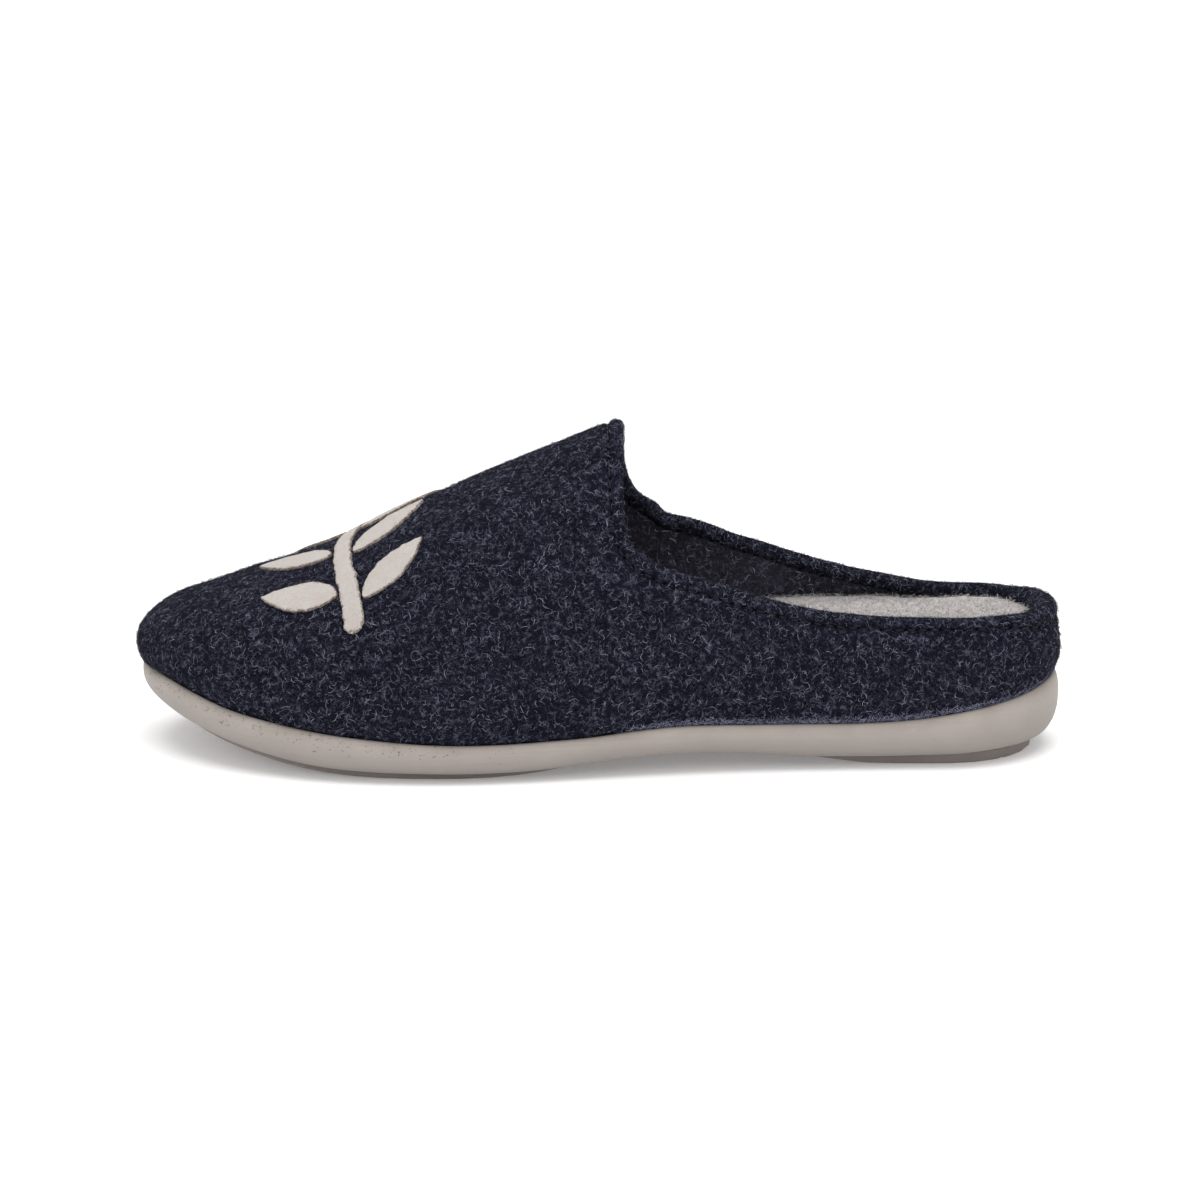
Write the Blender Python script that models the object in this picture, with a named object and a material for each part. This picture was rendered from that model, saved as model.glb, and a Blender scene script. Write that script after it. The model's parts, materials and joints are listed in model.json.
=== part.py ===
"""Felt house slipper, left foot: a backless mule with a low rim round the heel.

The toe points to -X, the outer side of the foot is at -Y, and the floor is z = 0.
Everything follows one last: a plan outline, a side profile and an arched section.
"""
import functools
import math

import bmesh
import bpy
from mathutils import Matrix, Vector

MM = 0.001

# Driving sizes of the last and the upper
LENGTH = 265 * MM  # heel to toe over the felt
BALL_WIDTH = 98 * MM
INSTEP_HEIGHT = 95 * MM  # floor to the top of the throat
COLLAR_HEIGHT = 42 * MM  # floor to the lowest of the rim, beside the heel
VAMP_LENGTH = 139 * MM  # toe tip to the throat
FELT = 3 * MM  # wall of the upper
HEEL_ROUND = 34 * MM  # length of the heel's round end, seen from above
TOE_ROUND = 74 * MM  # length of the toe's round end, seen from above
TOE_DROP = 19 * MM  # length over which the vamp turns down at the tip
HEEL_DROP = 10.5 * MM  # length over which the last turns down at the back

# Sizes of the seam where felt and sole meet
FEATHER_HEIGHT = 24 * MM  # floor to the sole's lip at the toe tip
TUCK_DEPTH = 2.5 * MM  # how far the felt goes down inside the lip
TUCK_INSET = 2.7 * MM  # how far the felt is drawn in at the lip
BULGE_RISE = 6.5 * MM  # lip to the widest line of the felt
CLEARANCE = 0.3 * MM  # between pieces that touch

# Sizes of the folded rim
RIM_BAND = 4.6 * MM  # edge to the stitched groove
RIM_THICKNESS = 4.8 * MM  # felt folded over
GROOVE_DEPTH = 0.5 * MM
BAND_SWELL = 0.3 * MM
GROOVE_HALF = 1.1 * MM

# Sizes of the sole, the tread and the footbed
LIP_WIDTH = 0.9 * MM
SIDE_HEIGHT = 5.2 * MM  # highest point of the sole's lower edge, at the waist
EDGE_ROUND = 6.5 * MM  # how far the lower edge of its side is drawn in
TREAD = 3 * MM
TREAD_INSET = 8 * MM
TREAD_LIFT = 13.5 * MM  # toe spring, at the front of the tread
TREAD_GROOVE = 1.2 * MM
GROOVE_WIDTH = 2 * MM
GROOVE_PITCH = 8 * MM
GROOVE_STOP = 2.5 * MM  # from the end of a groove to the edge of the tread
BED_HEIGHT = 38 * MM  # floor to the footbed at the heel
BED_CUP = 2.2 * MM
BED_EDGE = 2 * MM
CUP_REACH = 15 * MM  # how far in from the edge the cup is at its deepest

# Sizes of the cut-out felt sprig on the vamp
SPRIG_FELT = 1.4 * MM
SPRIG_REACH = BALL_WIDTH * 0.48  # from the ridge down either side, along the felt
SPRIG_SWAY = VAMP_LENGTH * 0.043
SPRIG_STEM = BALL_WIDTH * 0.057
SPRIG_GAP = 1.2 * MM  # between the stem and a leaf
LEAF_LENGTH = VAMP_LENGTH * 0.18
LEAF_WIDTH = LEAF_LENGTH * 0.46

# Shares of the length at which one stretch of the shoe meets the next
HEEL_END = 0.15
SIDE_END = 0.40
GROOVED = ((0.07, 0.25), (0.58, 0.90))  # stretches of the tread

# Plan of the widest line. Half width and centre line are shares of BALL_WIDTH.
PLAN_COLUMNS = ("share", "half_width", "centre")
PLAN = (
    (0.00, 0.337, 0.000),
    (0.13, 0.337, 0.000),
    (0.25, 0.337, -0.010),
    (0.33, 0.341, -0.022),
    (0.40, 0.352, -0.036),
    (0.50, 0.398, -0.041),
    (0.60, 0.454, -0.036),
    (0.66, 0.482, -0.023),
    (0.72, 0.493, -0.008),
    (0.80, 0.494, 0.015),
    (0.88, 0.492, 0.046),
    (0.94, 0.490, 0.061),
    (1.00, 0.490, 0.071),
)

# Side view of the last. The ridge is a share of INSTEP_HEIGHT, before the ends turn down.
RIDGE_COLUMNS = ("share", "ridge", "fullness")
RIDGE = (
    (0.00, 0.570, 1.70),
    (0.15, 0.575, 1.70),
    (0.25, 0.700, 2.05),
    (0.35, 0.900, 2.30),
    (0.42, 0.985, 2.20),
    (0.48, 1.000, 2.15),
    (0.54, 0.940, 2.12),
    (0.61, 0.858, 2.12),
    (0.67, 0.776, 2.15),
    (0.72, 0.709, 2.20),
    (0.78, 0.617, 2.25),
    (0.87, 0.521, 2.35),
    (0.93, 0.463, 2.40),
    (1.00, 0.412, 2.40),
)

# Side view of the bottom. Lip: share of FEATHER_HEIGHT. Edge: share of SIDE_HEIGHT.
# Lift: share of TREAD_LIFT. Bed: share of BED_HEIGHT.
BOTTOM_COLUMNS = ("share", "lip", "edge", "lift", "bed")
BOTTOM = (
    (0.00, 0.917, 0.77, 0.000, 1.010),
    (0.03, 0.850, 0.75, 0.000, 1.005),
    (0.07, 0.768, 0.71, 0.000, 0.998),
    (0.11, 0.700, 0.65, 0.000, 0.990),
    (0.16, 0.616, 0.59, 0.000, 0.985),
    (0.22, 0.575, 0.57, 0.045, 0.985),
    (0.28, 0.575, 0.64, 0.225, 0.975),
    (0.34, 0.581, 0.86, 0.345, 0.940),
    (0.41, 0.592, 1.00, 0.370, 0.870),
    (0.46, 0.562, 0.90, 0.330, 0.800),
    (0.51, 0.511, 0.71, 0.235, 0.720),
    (0.56, 0.488, 0.48, 0.085, 0.650),
    (0.63, 0.473, 0.40, 0.000, 0.590),
    (0.69, 0.490, 0.42, 0.000, 0.565),
    (0.74, 0.530, 0.46, 0.010, 0.560),
    (0.80, 0.590, 0.61, 0.070, 0.570),
    (0.85, 0.660, 0.92, 0.180, 0.590),
    (0.90, 0.746, 1.40, 0.360, 0.630),
    (0.94, 0.860, 1.92, 0.540, 0.675),
    (0.97, 0.945, 2.36, 0.710, 0.715),
    (1.00, 1.000, 2.85, 0.880, 0.750),
)

# The rim, from the back of the heel to the top of the throat. Along: share of the way
# to the throat. Outer and inner side: share of the rise from COLLAR_HEIGHT to the throat.
RIM_COLUMNS = ("along", "outer", "inner")
RIM = (
    (0.000, 0.030, 0.030),
    (0.060, 0.028, 0.006),
    (0.120, 0.027, 0.000),
    (0.250, 0.021, 0.004),
    (0.420, 0.046, 0.068),
    (0.590, 0.112, 0.165),
    (0.690, 0.172, 0.242),
    (0.820, 0.270, 0.340),
    (0.930, 0.372, 0.443),
    (0.970, 0.440, 0.550),
    (0.990, 0.540, 0.680),
    (0.997, 0.710, 0.810),
    (1.000, 1.000, 1.000),
)

# Side of the sole: share of its height, and how far in, as a share of EDGE_ROUND.
FLANK_COLUMNS = ("up", "inset")
FLANK = (
    (0.00, 1.00),
    (0.05, 0.66),
    (0.18, 0.34),
    (0.38, 0.12),
    (0.62, 0.05),
    (0.86, 0.09),
    (0.97, 0.19),
)

# The sprig: where leaves leave the stem, their angle from it and their size.
LEAF_COLUMNS = ("along", "angle", "size")
LEAVES = (
    (0.08, 58, 0.85),
    (0.14, -58, 0.95),
    (0.31, 56, 1.00),
    (0.37, -56, 1.00),
    (0.54, 55, 1.00),
    (0.60, -55, 0.95),
    (0.76, 54, 0.90),
    (0.82, -54, 0.85),
    (1.00, 0, 0.80),
)
SPRIG_CENTRE = 0.752  # share of the length

# Mesh density
HEEL_COLUMNS = 7
SIDE_COLUMNS = 8
VAMP_COLUMNS = 23
WALL_ROWS = 12
PATH_SAMPLES = 240
MOST_LEAN = 2.5  # thickest the felt counts, measured level, as a share of FELT
ARCH_POWER = 1.9
SECTION_SAMPLES = 60
SLOPE_STEP = 0.01
SHARP_ANGLE = math.radians(38)
TUCK_ROWS = (0.22, 0.55)
BED_ROWS = (0.0, 0.22, 0.5, 0.78, 1.0)
TINY = 1e-9
OUTER, INNER = -1, 1


def column_of(table, columns, name):
    """The first column of a table and the named one, as two lists."""
    at = columns.index(name)
    return [row[0] for row in table], [row[at] for row in table]


def smooth(xs, ys, x):
    """A smooth curve through the points, read at x."""
    x = min(max(x, xs[0]), xs[-1])
    i = max(k for k in range(len(xs) - 1) if xs[k] <= x)
    step = xs[i + 1] - xs[i]
    chord = (ys[i + 1] - ys[i]) / step
    before = (ys[i] - ys[i - 1]) / (xs[i] - xs[i - 1]) if i else chord
    after = chord
    if i + 2 < len(xs):
        after = (ys[i + 2] - ys[i + 1]) / (xs[i + 2] - xs[i + 1])
    start, end = (before + chord) / 2, (chord + after) / 2
    t = (x - xs[i]) / step
    return (
        ys[i] * (1 + 2 * t) * (1 - t) ** 2
        + start * step * t * (1 - t) ** 2
        + ys[i + 1] * t**2 * (3 - 2 * t)
        + end * step * t**2 * (t - 1)
    )


def read(table, columns, name, share):
    """A named column of a table at a share of the length."""
    xs, ys = column_of(table, columns, name)
    return smooth(xs, ys, share)


def round_end(distance, length, power, root=2.0):
    """0 at the very end of a shape, 1 from a length inwards, and round between."""
    out = 1 - min(max(distance / length, 0.0), 1.0)
    return (1 - out**power) ** (1 / root)


def station(share):
    """x of a share of the length, from the heel at +X to the toe at -X."""
    return LENGTH * (0.5 - share)


def share_at(x):
    return 0.5 - x / LENGTH


def half_width(share):
    ends = round_end(share * LENGTH, HEEL_ROUND, 2.0)
    ends *= round_end((1 - share) * LENGTH, TOE_ROUND, 2.4)
    return BALL_WIDTH * read(PLAN, PLAN_COLUMNS, "half_width", share) * ends


@functools.cache
def plan_shift():
    """Sideways move that puts the middle of the whole plan on the X axis."""
    shares = [k / PATH_SAMPLES for k in range(PATH_SAMPLES + 1)]
    lines = [BALL_WIDTH * read(PLAN, PLAN_COLUMNS, "centre", s) for s in shares]
    inner = max(c + half_width(s) for c, s in zip(lines, shares))
    outer = min(c - half_width(s) for c, s in zip(lines, shares))
    return -(inner + outer) / 2


def centre(share):
    return BALL_WIDTH * read(PLAN, PLAN_COLUMNS, "centre", share) + plan_shift()


def lip_height(share):
    return FEATHER_HEIGHT * read(BOTTOM, BOTTOM_COLUMNS, "lip", share)


def widest_height(share):
    return lip_height(share) + BULGE_RISE


def edge_height(share):
    return SIDE_HEIGHT * read(BOTTOM, BOTTOM_COLUMNS, "edge", share)


def tread_height(share):
    return TREAD_LIFT * max(0.0, read(BOTTOM, BOTTOM_COLUMNS, "lift", share))


def bed_height(share):
    return BED_HEIGHT * read(BOTTOM, BOTTOM_COLUMNS, "bed", share)


def ridge_height(share):
    """Top of the last, with both ends turned down to its widest line."""
    low = widest_height(share)
    top = INSTEP_HEIGHT * read(RIDGE, RIDGE_COLUMNS, "ridge", share)
    toe = round_end((1 - share) * LENGTH, TOE_DROP, 3.4)
    heel = round_end(share * LENGTH, HEEL_DROP, 3.0, 1.25)
    return low + (top - low) * toe * heel


def last_height(x, y):
    """Height of the last's outer surface over a point of its plan."""
    share = share_at(x)
    wide = half_width(share)
    low = widest_height(share)
    if wide < TINY:
        return low
    power = read(RIDGE, RIDGE_COLUMNS, "fullness", share)
    across = min(abs(y - centre(share)) / wide, 1.0)
    return low + (ridge_height(share) - low) * (1 - across**power) ** (1 / ARCH_POWER)


def last_side(share, height, side):
    """y of the last's outer surface at a height, on one side."""
    low = widest_height(share)
    rise = (height - low) / max(ridge_height(share) - low, TINY)
    power = read(RIDGE, RIDGE_COLUMNS, "fullness", share)
    across = (1 - min(max(rise, 0.0), 1.0) ** ARCH_POWER) ** (1 / power)
    return centre(share) + side * half_width(share) * across


def outline_path(side):
    """The widest line on one side, from the back of the heel to the toe tip."""
    path = []
    for k in range(PATH_SAMPLES + 1):
        share = (1 - math.cos(math.pi * k / PATH_SAMPLES)) / 2
        y = centre(share) + side * half_width(share)
        path.append(Vector((station(share), y, widest_height(share))))
    return path


def rim_path(side):
    """The rim on one side, from the back of the heel to the top of the throat."""
    throat = 1 - VAMP_LENGTH / LENGTH
    top = ridge_height(throat)
    name = "outer" if side == OUTER else "inner"
    along, rise = column_of(RIM, RIM_COLUMNS, name)
    start = COLLAR_HEIGHT + (top - COLLAR_HEIGHT) * rise[0]
    low, high = 0.0, HEEL_END
    for _ in range(40):
        back = (low + high) / 2
        low, high = (back, high) if ridge_height(back) < start else (low, back)
    knots = [0.0]
    for k in range(1, len(RIM)):
        run = (along[k] - along[k - 1]) * throat * LENGTH
        climb = (rise[k] - rise[k - 1]) * (top - COLLAR_HEIGHT)
        knots.append(knots[-1] + math.hypot(run, climb))
    path = []
    for k in range(PATH_SAMPLES + 1):
        at = knots[-1] * (k / PATH_SAMPLES) ** 1.5
        share = back + (throat - back) * smooth(knots, along, at)
        height = COLLAR_HEIGHT + (top - COLLAR_HEIGHT) * smooth(knots, rise, at)
        y = last_side(share, height, side)
        path.append(Vector((station(share), y, last_height(station(share), y))))
    return path


def lengths_of(path):
    """Distance along a path at each of its points."""
    total = [0.0]
    for a, b in zip(path, path[1:]):
        total.append(total[-1] + (b - a).length)
    return total


def point_at(path, lengths, distance):
    distance = min(max(distance, 0.0), lengths[-1])
    k = max(i for i in range(len(path) - 1) if lengths[i] <= distance)
    part = (distance - lengths[k]) / max(lengths[k + 1] - lengths[k], TINY)
    return path[k].lerp(path[k + 1], min(part, 1.0))


def length_where(path, lengths, share):
    """Distance along a path to where it passes a share of the length."""
    x = station(share)
    return next(d for p, d in zip(path, lengths) if p.x <= x)


def side_columns(side):
    """Pairs of points, on the widest line and on the rim, from the heel to the toe."""
    outline, rim = outline_path(side), rim_path(side)
    outline_d, rim_d = lengths_of(outline), lengths_of(rim)
    stops = []
    for share in (HEEL_END, SIDE_END):
        at = (length_where(outline, outline_d, share), length_where(rim, rim_d, share))
        stops.append(at)
    stops = [(0.0, 0.0), *stops, (outline_d[-1], rim_d[-1])]
    pairs = []
    for zone, count in enumerate((HEEL_COLUMNS, SIDE_COLUMNS, VAMP_COLUMNS)):
        (o0, r0), (o1, r1) = stops[zone], stops[zone + 1]
        for k in range(count):
            f = k / count
            g = f if zone < 2 else f * (1.6 - 0.6 * f)
            foot = point_at(outline, outline_d, o0 + (o1 - o0) * f)
            head = point_at(rim, rim_d, r0 + (r1 - r0) * g)
            pairs.append((foot, head))
    pairs.append((outline[-1], rim[-1]))
    return pairs


def all_columns():
    """One closed loop of pairs: heel, outer side, toe, inner side and back."""
    outer, inner = side_columns(OUTER), side_columns(INNER)
    return outer + inner[-2:0:-1]


def outward(loop, i):
    """Level direction that points out of a closed loop at one of its points."""
    along = loop[(i + 1) % len(loop)] - loop[i - 1]
    return Vector((along.y, -along.x, 0)).normalized()


class Last:
    """The columns of the last, with each one's outward direction and wall curve."""

    def __init__(self):
        pairs = all_columns()
        self.widest = [a for a, _ in pairs]
        self.rim = [b for _, b in pairs]
        self.count = len(pairs)
        out = [outward(self.widest, i) for i in range(self.count)]
        self.out = out if out[0].x > 0 else [-d for d in out]
        self.share = [share_at(p.x) for p in self.widest]
        self.walls = [self.wall_curve(i) for i in range(self.count)]

    def wall_curve(self, i):
        """Dense points of the outer surface, from the widest line up to the rim."""
        a, b = self.widest[i], self.rim[i]
        curve = []
        for k in range(PATH_SAMPLES + 1):
            part = (k / PATH_SAMPLES) ** 3
            x, y = a.x + (b.x - a.x) * part, a.y + (b.y - a.y) * part
            curve.append(Vector((x, y, last_height(x, y))))
        return curve

    def loop(self, inset, height):
        """A closed loop drawn in from the widest line, at a height for each share."""
        points = []
        for i in range(self.count):
            p = self.widest[i] - self.out[i] * inset
            points.append(Vector((p.x, p.y, height(self.share[i]))))
        return points

    def tuck(self, i, part):
        """The felt between the sole's lip, part 0, and its widest line, part 1."""
        inset = TUCK_INSET * (1 - math.sin(part * math.pi / 2) ** 0.8)
        p = self.widest[i] - self.out[i] * inset
        return Vector((p.x, p.y, lip_height(self.share[i]) + BULGE_RISE * part))

    def inside(self, i, height, clear):
        """A point inside the felt wall at a height, clear of its inner face."""
        wall = [self.tuck(i, k / 20) for k in range(20)] + self.walls[i]
        k = next((k for k, q in enumerate(wall[1:]) if q.z >= height), len(wall) - 2)
        low, high = wall[k], wall[k + 1]
        part = (height - low.z) / max(high.z - low.z, TINY)
        p = low.lerp(high, min(max(part, 0.0), 1.0))
        lean = (high - low).length / max(high.z - low.z, TINY)
        moved = p - self.out[i] * (FELT * min(lean, MOST_LEAN) + clear)
        return Vector((moved.x, moved.y, height))


def object_from(name, mesh_data, material):
    mesh = bpy.data.meshes.new(name)
    mesh_data.to_mesh(mesh)
    mesh_data.free()
    mesh.materials.append(material)
    mesh.shade_smooth()
    mesh.set_sharp_from_angle(angle=SHARP_ANGLE)
    made = bpy.data.objects.new(name, mesh)
    bpy.context.scene.collection.objects.link(made)
    return made


def material(name, colour, roughness):
    made = bpy.data.materials.new(name)
    made.use_nodes = True
    shader = made.node_tree.nodes["Principled BSDF"]
    shader.inputs["Base Color"].default_value = (*colour, 1)
    shader.inputs["Roughness"].default_value = roughness
    shader.inputs["Metallic"].default_value = 0
    return made


def skin_loops(bm, loops):
    """Quads between each closed loop of points and the next. Returns the vertices."""
    rings = [[bm.verts.new(p) for p in loop] for loop in loops]
    for low, high in zip(rings, rings[1:]):
        for i in range(len(low)):
            j = (i + 1) % len(low)
            bm.faces.new((low[i], low[j], high[j], high[i]))
    return rings


def close_across(bm, ring, flip=False):
    """Closes a ring with strips from the outer side of the foot to the inner side."""
    half = len(ring) // 2
    for i in range(half):
        a, b = ring[i], ring[i + 1]
        c, d = ring[-(i + 1) % len(ring)], ring[-i % len(ring)]
        corners = []
        for v in (a, b, c, d):
            if v not in corners:
                corners.append(v)
        bm.faces.new(corners[::-1] if flip else corners)


def lofted(name, loops, finish):
    """A closed solid through loops that run from its underside, round, to its top."""
    bm = bmesh.new()
    rings = skin_loops(bm, loops)
    close_across(bm, rings[0], flip=True)
    close_across(bm, rings[-1])
    bmesh.ops.recalc_face_normals(bm, faces=bm.faces[:])
    return object_from(name, bm, finish)


def resample(curve, distances):
    lengths = lengths_of(curve)
    return [point_at(curve, lengths, d) for d in distances]


def upper_rows(last):
    """Rows of the outer face of the felt, each a closed loop, from the sole up."""
    grid = []
    for i in range(last.count):
        foot = last.tuck(i, 0)
        column = [foot - Vector((0, 0, TUCK_DEPTH)), foot]
        column += [last.tuck(i, part) for part in TUCK_ROWS]
        total = lengths_of(last.walls[i])[-1]
        free = total - RIM_BAND - GROOVE_HALF
        spaced = [free * (k / WALL_ROWS) ** 1.25 for k in range(WALL_ROWS + 1)]
        band = [total - RIM_BAND, total - RIM_BAND + GROOVE_HALF]
        band += [total - RIM_BAND * 0.3, total]
        column += resample(last.walls[i], spaced + band)
        grid.append(column)
    return [[column[r] for column in grid] for r in range(len(grid[0]))]


def make_upper(last, finish):
    """One felt shell: open underneath and at the rim, with a folded, stitched edge."""
    rows = upper_rows(last)
    bm = bmesh.new()
    rings = skin_loops(bm, rows)
    bmesh.ops.recalc_face_normals(bm, faces=bm.faces[:])
    bm.normal_update()
    if rings[4][0].normal.x < 0:
        bmesh.ops.reverse_faces(bm, faces=bm.faces[:])
        bm.normal_update()
    moves = ((-4, -GROOVE_DEPTH), (-3, BAND_SWELL), (-2, BAND_SWELL))
    for row, shift in moves:
        for v in rings[row]:
            v.co += v.normal * shift
    bm.verts.index_update()
    folded = [v.index for row in rings[-3:] for v in row]
    upper = object_from("upper", bm, finish)
    fold = upper.vertex_groups.new(name="fold")
    fold.add(folded, 1.0, "REPLACE")
    wall = upper.modifiers.new("felt wall", "SOLIDIFY")
    wall.thickness = RIM_THICKNESS
    wall.vertex_group = fold.name
    wall.thickness_vertex_group = FELT / RIM_THICKNESS
    wall.offset = -1
    wall.use_rim = True
    return upper


def make_sole(last, finish):
    """The moulded sole: a lip round the felt, a rounded side and a recess below."""
    lip = TUCK_INSET - CLEARANCE
    seat = TUCK_DEPTH + CLEARANCE

    def recess(share):
        return tread_height(share) + TREAD + CLEARANCE

    def up(part):
        def height(share):
            return edge_height(share) + (lip_height(share) - edge_height(share)) * part

        return height

    recess_inset = TREAD_INSET - CLEARANCE
    loops = [last.loop(recess_inset, recess), last.loop(recess_inset, edge_height)]
    loops += [last.loop(EDGE_ROUND * inset, up(part)) for part, inset in FLANK]
    loops += [
        last.loop(lip - LIP_WIDTH / 4, lip_height),
        last.loop(lip, lambda s: lip_height(s) - LIP_WIDTH / 3),
        last.loop(lip, lambda s: lip_height(s) - seat),
    ]
    return lofted("sole", loops, finish)


def make_tread(last, finish):
    """The worn surface: a plate set in the sole's recess, grooved across."""
    loops = [
        last.loop(TREAD_INSET + TREAD / 5, tread_height),
        last.loop(TREAD_INSET, lambda s: tread_height(s) + TREAD / 5),
        last.loop(TREAD_INSET, lambda s: tread_height(s) + TREAD),
    ]
    tread = lofted("tread", loops, finish)
    cutter = make_groove_cutter()
    cut = tread.modifiers.new("grooves", "BOOLEAN")
    cut.operation = "DIFFERENCE"
    cut.solver = "EXACT"
    cut.object = cutter
    return tread


def add_groove_bar(bm, share):
    """One bar across the tread, square to its underside at a share of the length."""
    ahead, behind = station(share + SLOPE_STEP), station(share - SLOPE_STEP)
    rise = tread_height(share + SLOPE_STEP) - tread_height(share - SLOPE_STEP)
    up = Vector((-rise / (ahead - behind), 0, 1)).normalized()
    below = TREAD_GROOVE * 2
    reach = 2 * (half_width(share) - TREAD_INSET - GROOVE_STOP)
    size = Vector((GROOVE_WIDTH, reach, TREAD_GROOVE + below))
    middle = Vector((0, 0, (TREAD_GROOVE - below) / 2))
    place = Vector((station(share), centre(share), tread_height(share)))
    made = bmesh.ops.create_cube(bm, size=1)["verts"]
    bmesh.ops.scale(bm, vec=size, verts=made)
    bmesh.ops.translate(bm, vec=middle, verts=made)
    turn = Vector((0, 0, 1)).rotation_difference(up).to_matrix()
    bmesh.ops.rotate(bm, matrix=turn, verts=made)
    bmesh.ops.translate(bm, vec=place, verts=made)


def make_groove_cutter():
    """Bars across the heel and the ball, each at the height of the tread there."""
    bm = bmesh.new()
    for first, end in GROOVED:
        count = int((end - first) * LENGTH / GROOVE_PITCH)
        for k in range(count + 1):
            add_groove_bar(bm, first + k * GROOVE_PITCH / LENGTH)
    cutter = object_from("groove cutter", bm, bpy.data.materials["tread rubber"])
    cutter.hide_render = True
    cutter.display_type = "WIRE"
    return cutter


def dished(dip, share):
    """Top of the footbed, lowered by a share of its cup."""
    return bed_height(share) - BED_CUP * dip


def make_insole(last, finish):
    """The footbed: a thick wedge that fills the felt shell, cupped on top."""
    clear = CLEARANCE * 2

    def side(height, draw_in=0.0):
        points = []
        for i in range(last.count):
            share = last.share[i]
            p = last.inside(i, height(share), clear)
            points.append(p - last.out[i] * draw_in)
        return points

    def part_way(part):
        def height(share):
            low, high = lip_height(share) - TUCK_DEPTH, bed_height(share) - BED_EDGE
            return low + (high - low) * part

        return height

    loops = [side(part_way(part)) for part in BED_ROWS]
    loops.append(side(lambda s: bed_height(s) - BED_EDGE * 0.3, BED_EDGE * 0.3))
    loops.append(side(bed_height, BED_EDGE))
    for dip, inset in ((0.7, CUP_REACH / 2), (1.0, CUP_REACH)):
        top = functools.partial(dished, dip)
        loops.append(side(top, BED_EDGE + inset))
    return lofted("insole", loops, finish)


def section_walk(share, side):
    """The last's section at a share of the length, from the ridge down one side."""
    path = []
    for k in range(SECTION_SAMPLES + 1):
        across = math.sin(k / SECTION_SAMPLES * math.pi / 2)
        y = centre(share) + side * half_width(share) * across
        path.append(Vector((station(share), y, last_height(station(share), y))))
    return path


def on_vamp(flat, lift):
    """A point of the flat sprig laid on the felt, lifted off it along its normal."""
    share = SPRIG_CENTRE + flat.x / LENGTH
    side = OUTER if flat.y < 0 else INNER
    path = section_walk(share, side)
    p = point_at(path, lengths_of(path), abs(flat.y))
    near = FELT / 4
    slope_x = last_height(p.x + near, p.y) - last_height(p.x - near, p.y)
    slope_y = last_height(p.x, p.y + near) - last_height(p.x, p.y - near)
    normal = Vector((-slope_x, -slope_y, 2 * near)).normalized()
    return p + normal * lift


def stem_point(part):
    """The flat sprig's stem, from the outer side of the foot over to the inner."""
    across = SPRIG_REACH * (2 * part - 1)
    bend = math.sin(math.pi * (part * 1.5 - 0.25)) + 1 - 2 * part
    return Vector((SPRIG_SWAY * bend, across, 0))


def stem_direction(part):
    return (stem_point(part + 0.01) - stem_point(part - 0.01)).normalized()


def stem_lines(steps=20):
    """The two edges of the stem, which narrows towards its tip."""
    left, right = [], []
    for k in range(steps + 1):
        part = k / steps
        p, d = stem_point(part), stem_direction(part)
        end = round_end(min(part, 1 - part), 0.04, 2.0)
        half = SPRIG_STEM / 2 * (1 - 0.3 * part) * max(end, 0.45)
        normal = Vector((-d.y, d.x, 0))
        left.append(p + normal * half)
        right.append(p - normal * half)
    return left, right


def leaf_lines(along, angle, size, steps=8):
    """The two edges of one leaf, a pointed oval that starts just off the stem."""
    way = stem_direction(along)
    turn = math.radians(angle)
    axis = Matrix.Rotation(turn, 3, "Z") @ way
    normal = Vector((-axis.y, axis.x, 0))
    root = stem_point(along) + axis * (SPRIG_STEM / 2 + SPRIG_GAP)
    left, right = [], []
    for k in range(steps + 1):
        part = k / steps
        half = LEAF_WIDTH * size / 2 * max(math.sin(math.pi * part**0.85) ** 0.8, 0.06)
        p = root + axis * LEAF_LENGTH * size * part
        left.append(p + normal * half)
        right.append(p - normal * half)
    return left, right


def laid_felt(name, left, right, across, finish):
    """A solid piece of flat felt between two edges, laid on the vamp."""
    bm = bmesh.new()
    sides = []
    for lift in (CLEARANCE, CLEARANCE + SPRIG_FELT):
        rows = []
        for a, b in zip(left, right):
            flats = [a.lerp(b, k / across) for k in range(across + 1)]
            rows.append([bm.verts.new(on_vamp(p, lift)) for p in flats])
        for one, two in zip(rows, rows[1:]):
            for k in range(across):
                bm.faces.new((one[k], one[k + 1], two[k + 1], two[k]))
        edge = rows[0][:-1] + [r[-1] for r in rows[:-1]] + rows[-1][:0:-1]
        sides.append(edge + [r[0] for r in rows[:0:-1]])
    low, high = sides
    for i in range(len(low)):
        j = (i + 1) % len(low)
        bm.faces.new((low[i], low[j], high[j], high[i]))
    bmesh.ops.recalc_face_normals(bm, faces=bm.faces[:])
    return object_from(name, bm, finish)


def make_sprig(finish):
    """A leafy sprig cut from cream felt, sewn on the vamp as separate pieces."""
    laid_felt("sprig_stem", *stem_lines(), 2, finish)
    for k, row in enumerate(LEAVES):
        laid_felt(f"sprig_leaf_{k + 1}", *leaf_lines(*row), 3, finish)


def main():
    for old in list(bpy.data.objects):
        bpy.data.objects.remove(old)
    navy = material("navy felt", (0.030, 0.036, 0.070), 0.95)
    taupe = material("taupe foam rubber", (0.46, 0.41, 0.37), 0.60)
    dark = material("tread rubber", (0.36, 0.31, 0.28), 0.70)
    pile = material("cream pile", (0.72, 0.67, 0.61), 0.95)
    cream = material("cream felt", (0.70, 0.66, 0.61), 0.95)
    last = Last()
    make_upper(last, navy)
    make_sole(last, taupe)
    make_tread(last, dark)
    make_insole(last, pile)
    make_sprig(cream)


main()
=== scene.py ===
"""Felt house slipper, left foot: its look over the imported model, piece by piece.

The toe points to -X, the outer side of the foot is at -Y, and the floor is z = 0.
"""
import functools
import json
import math

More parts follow.
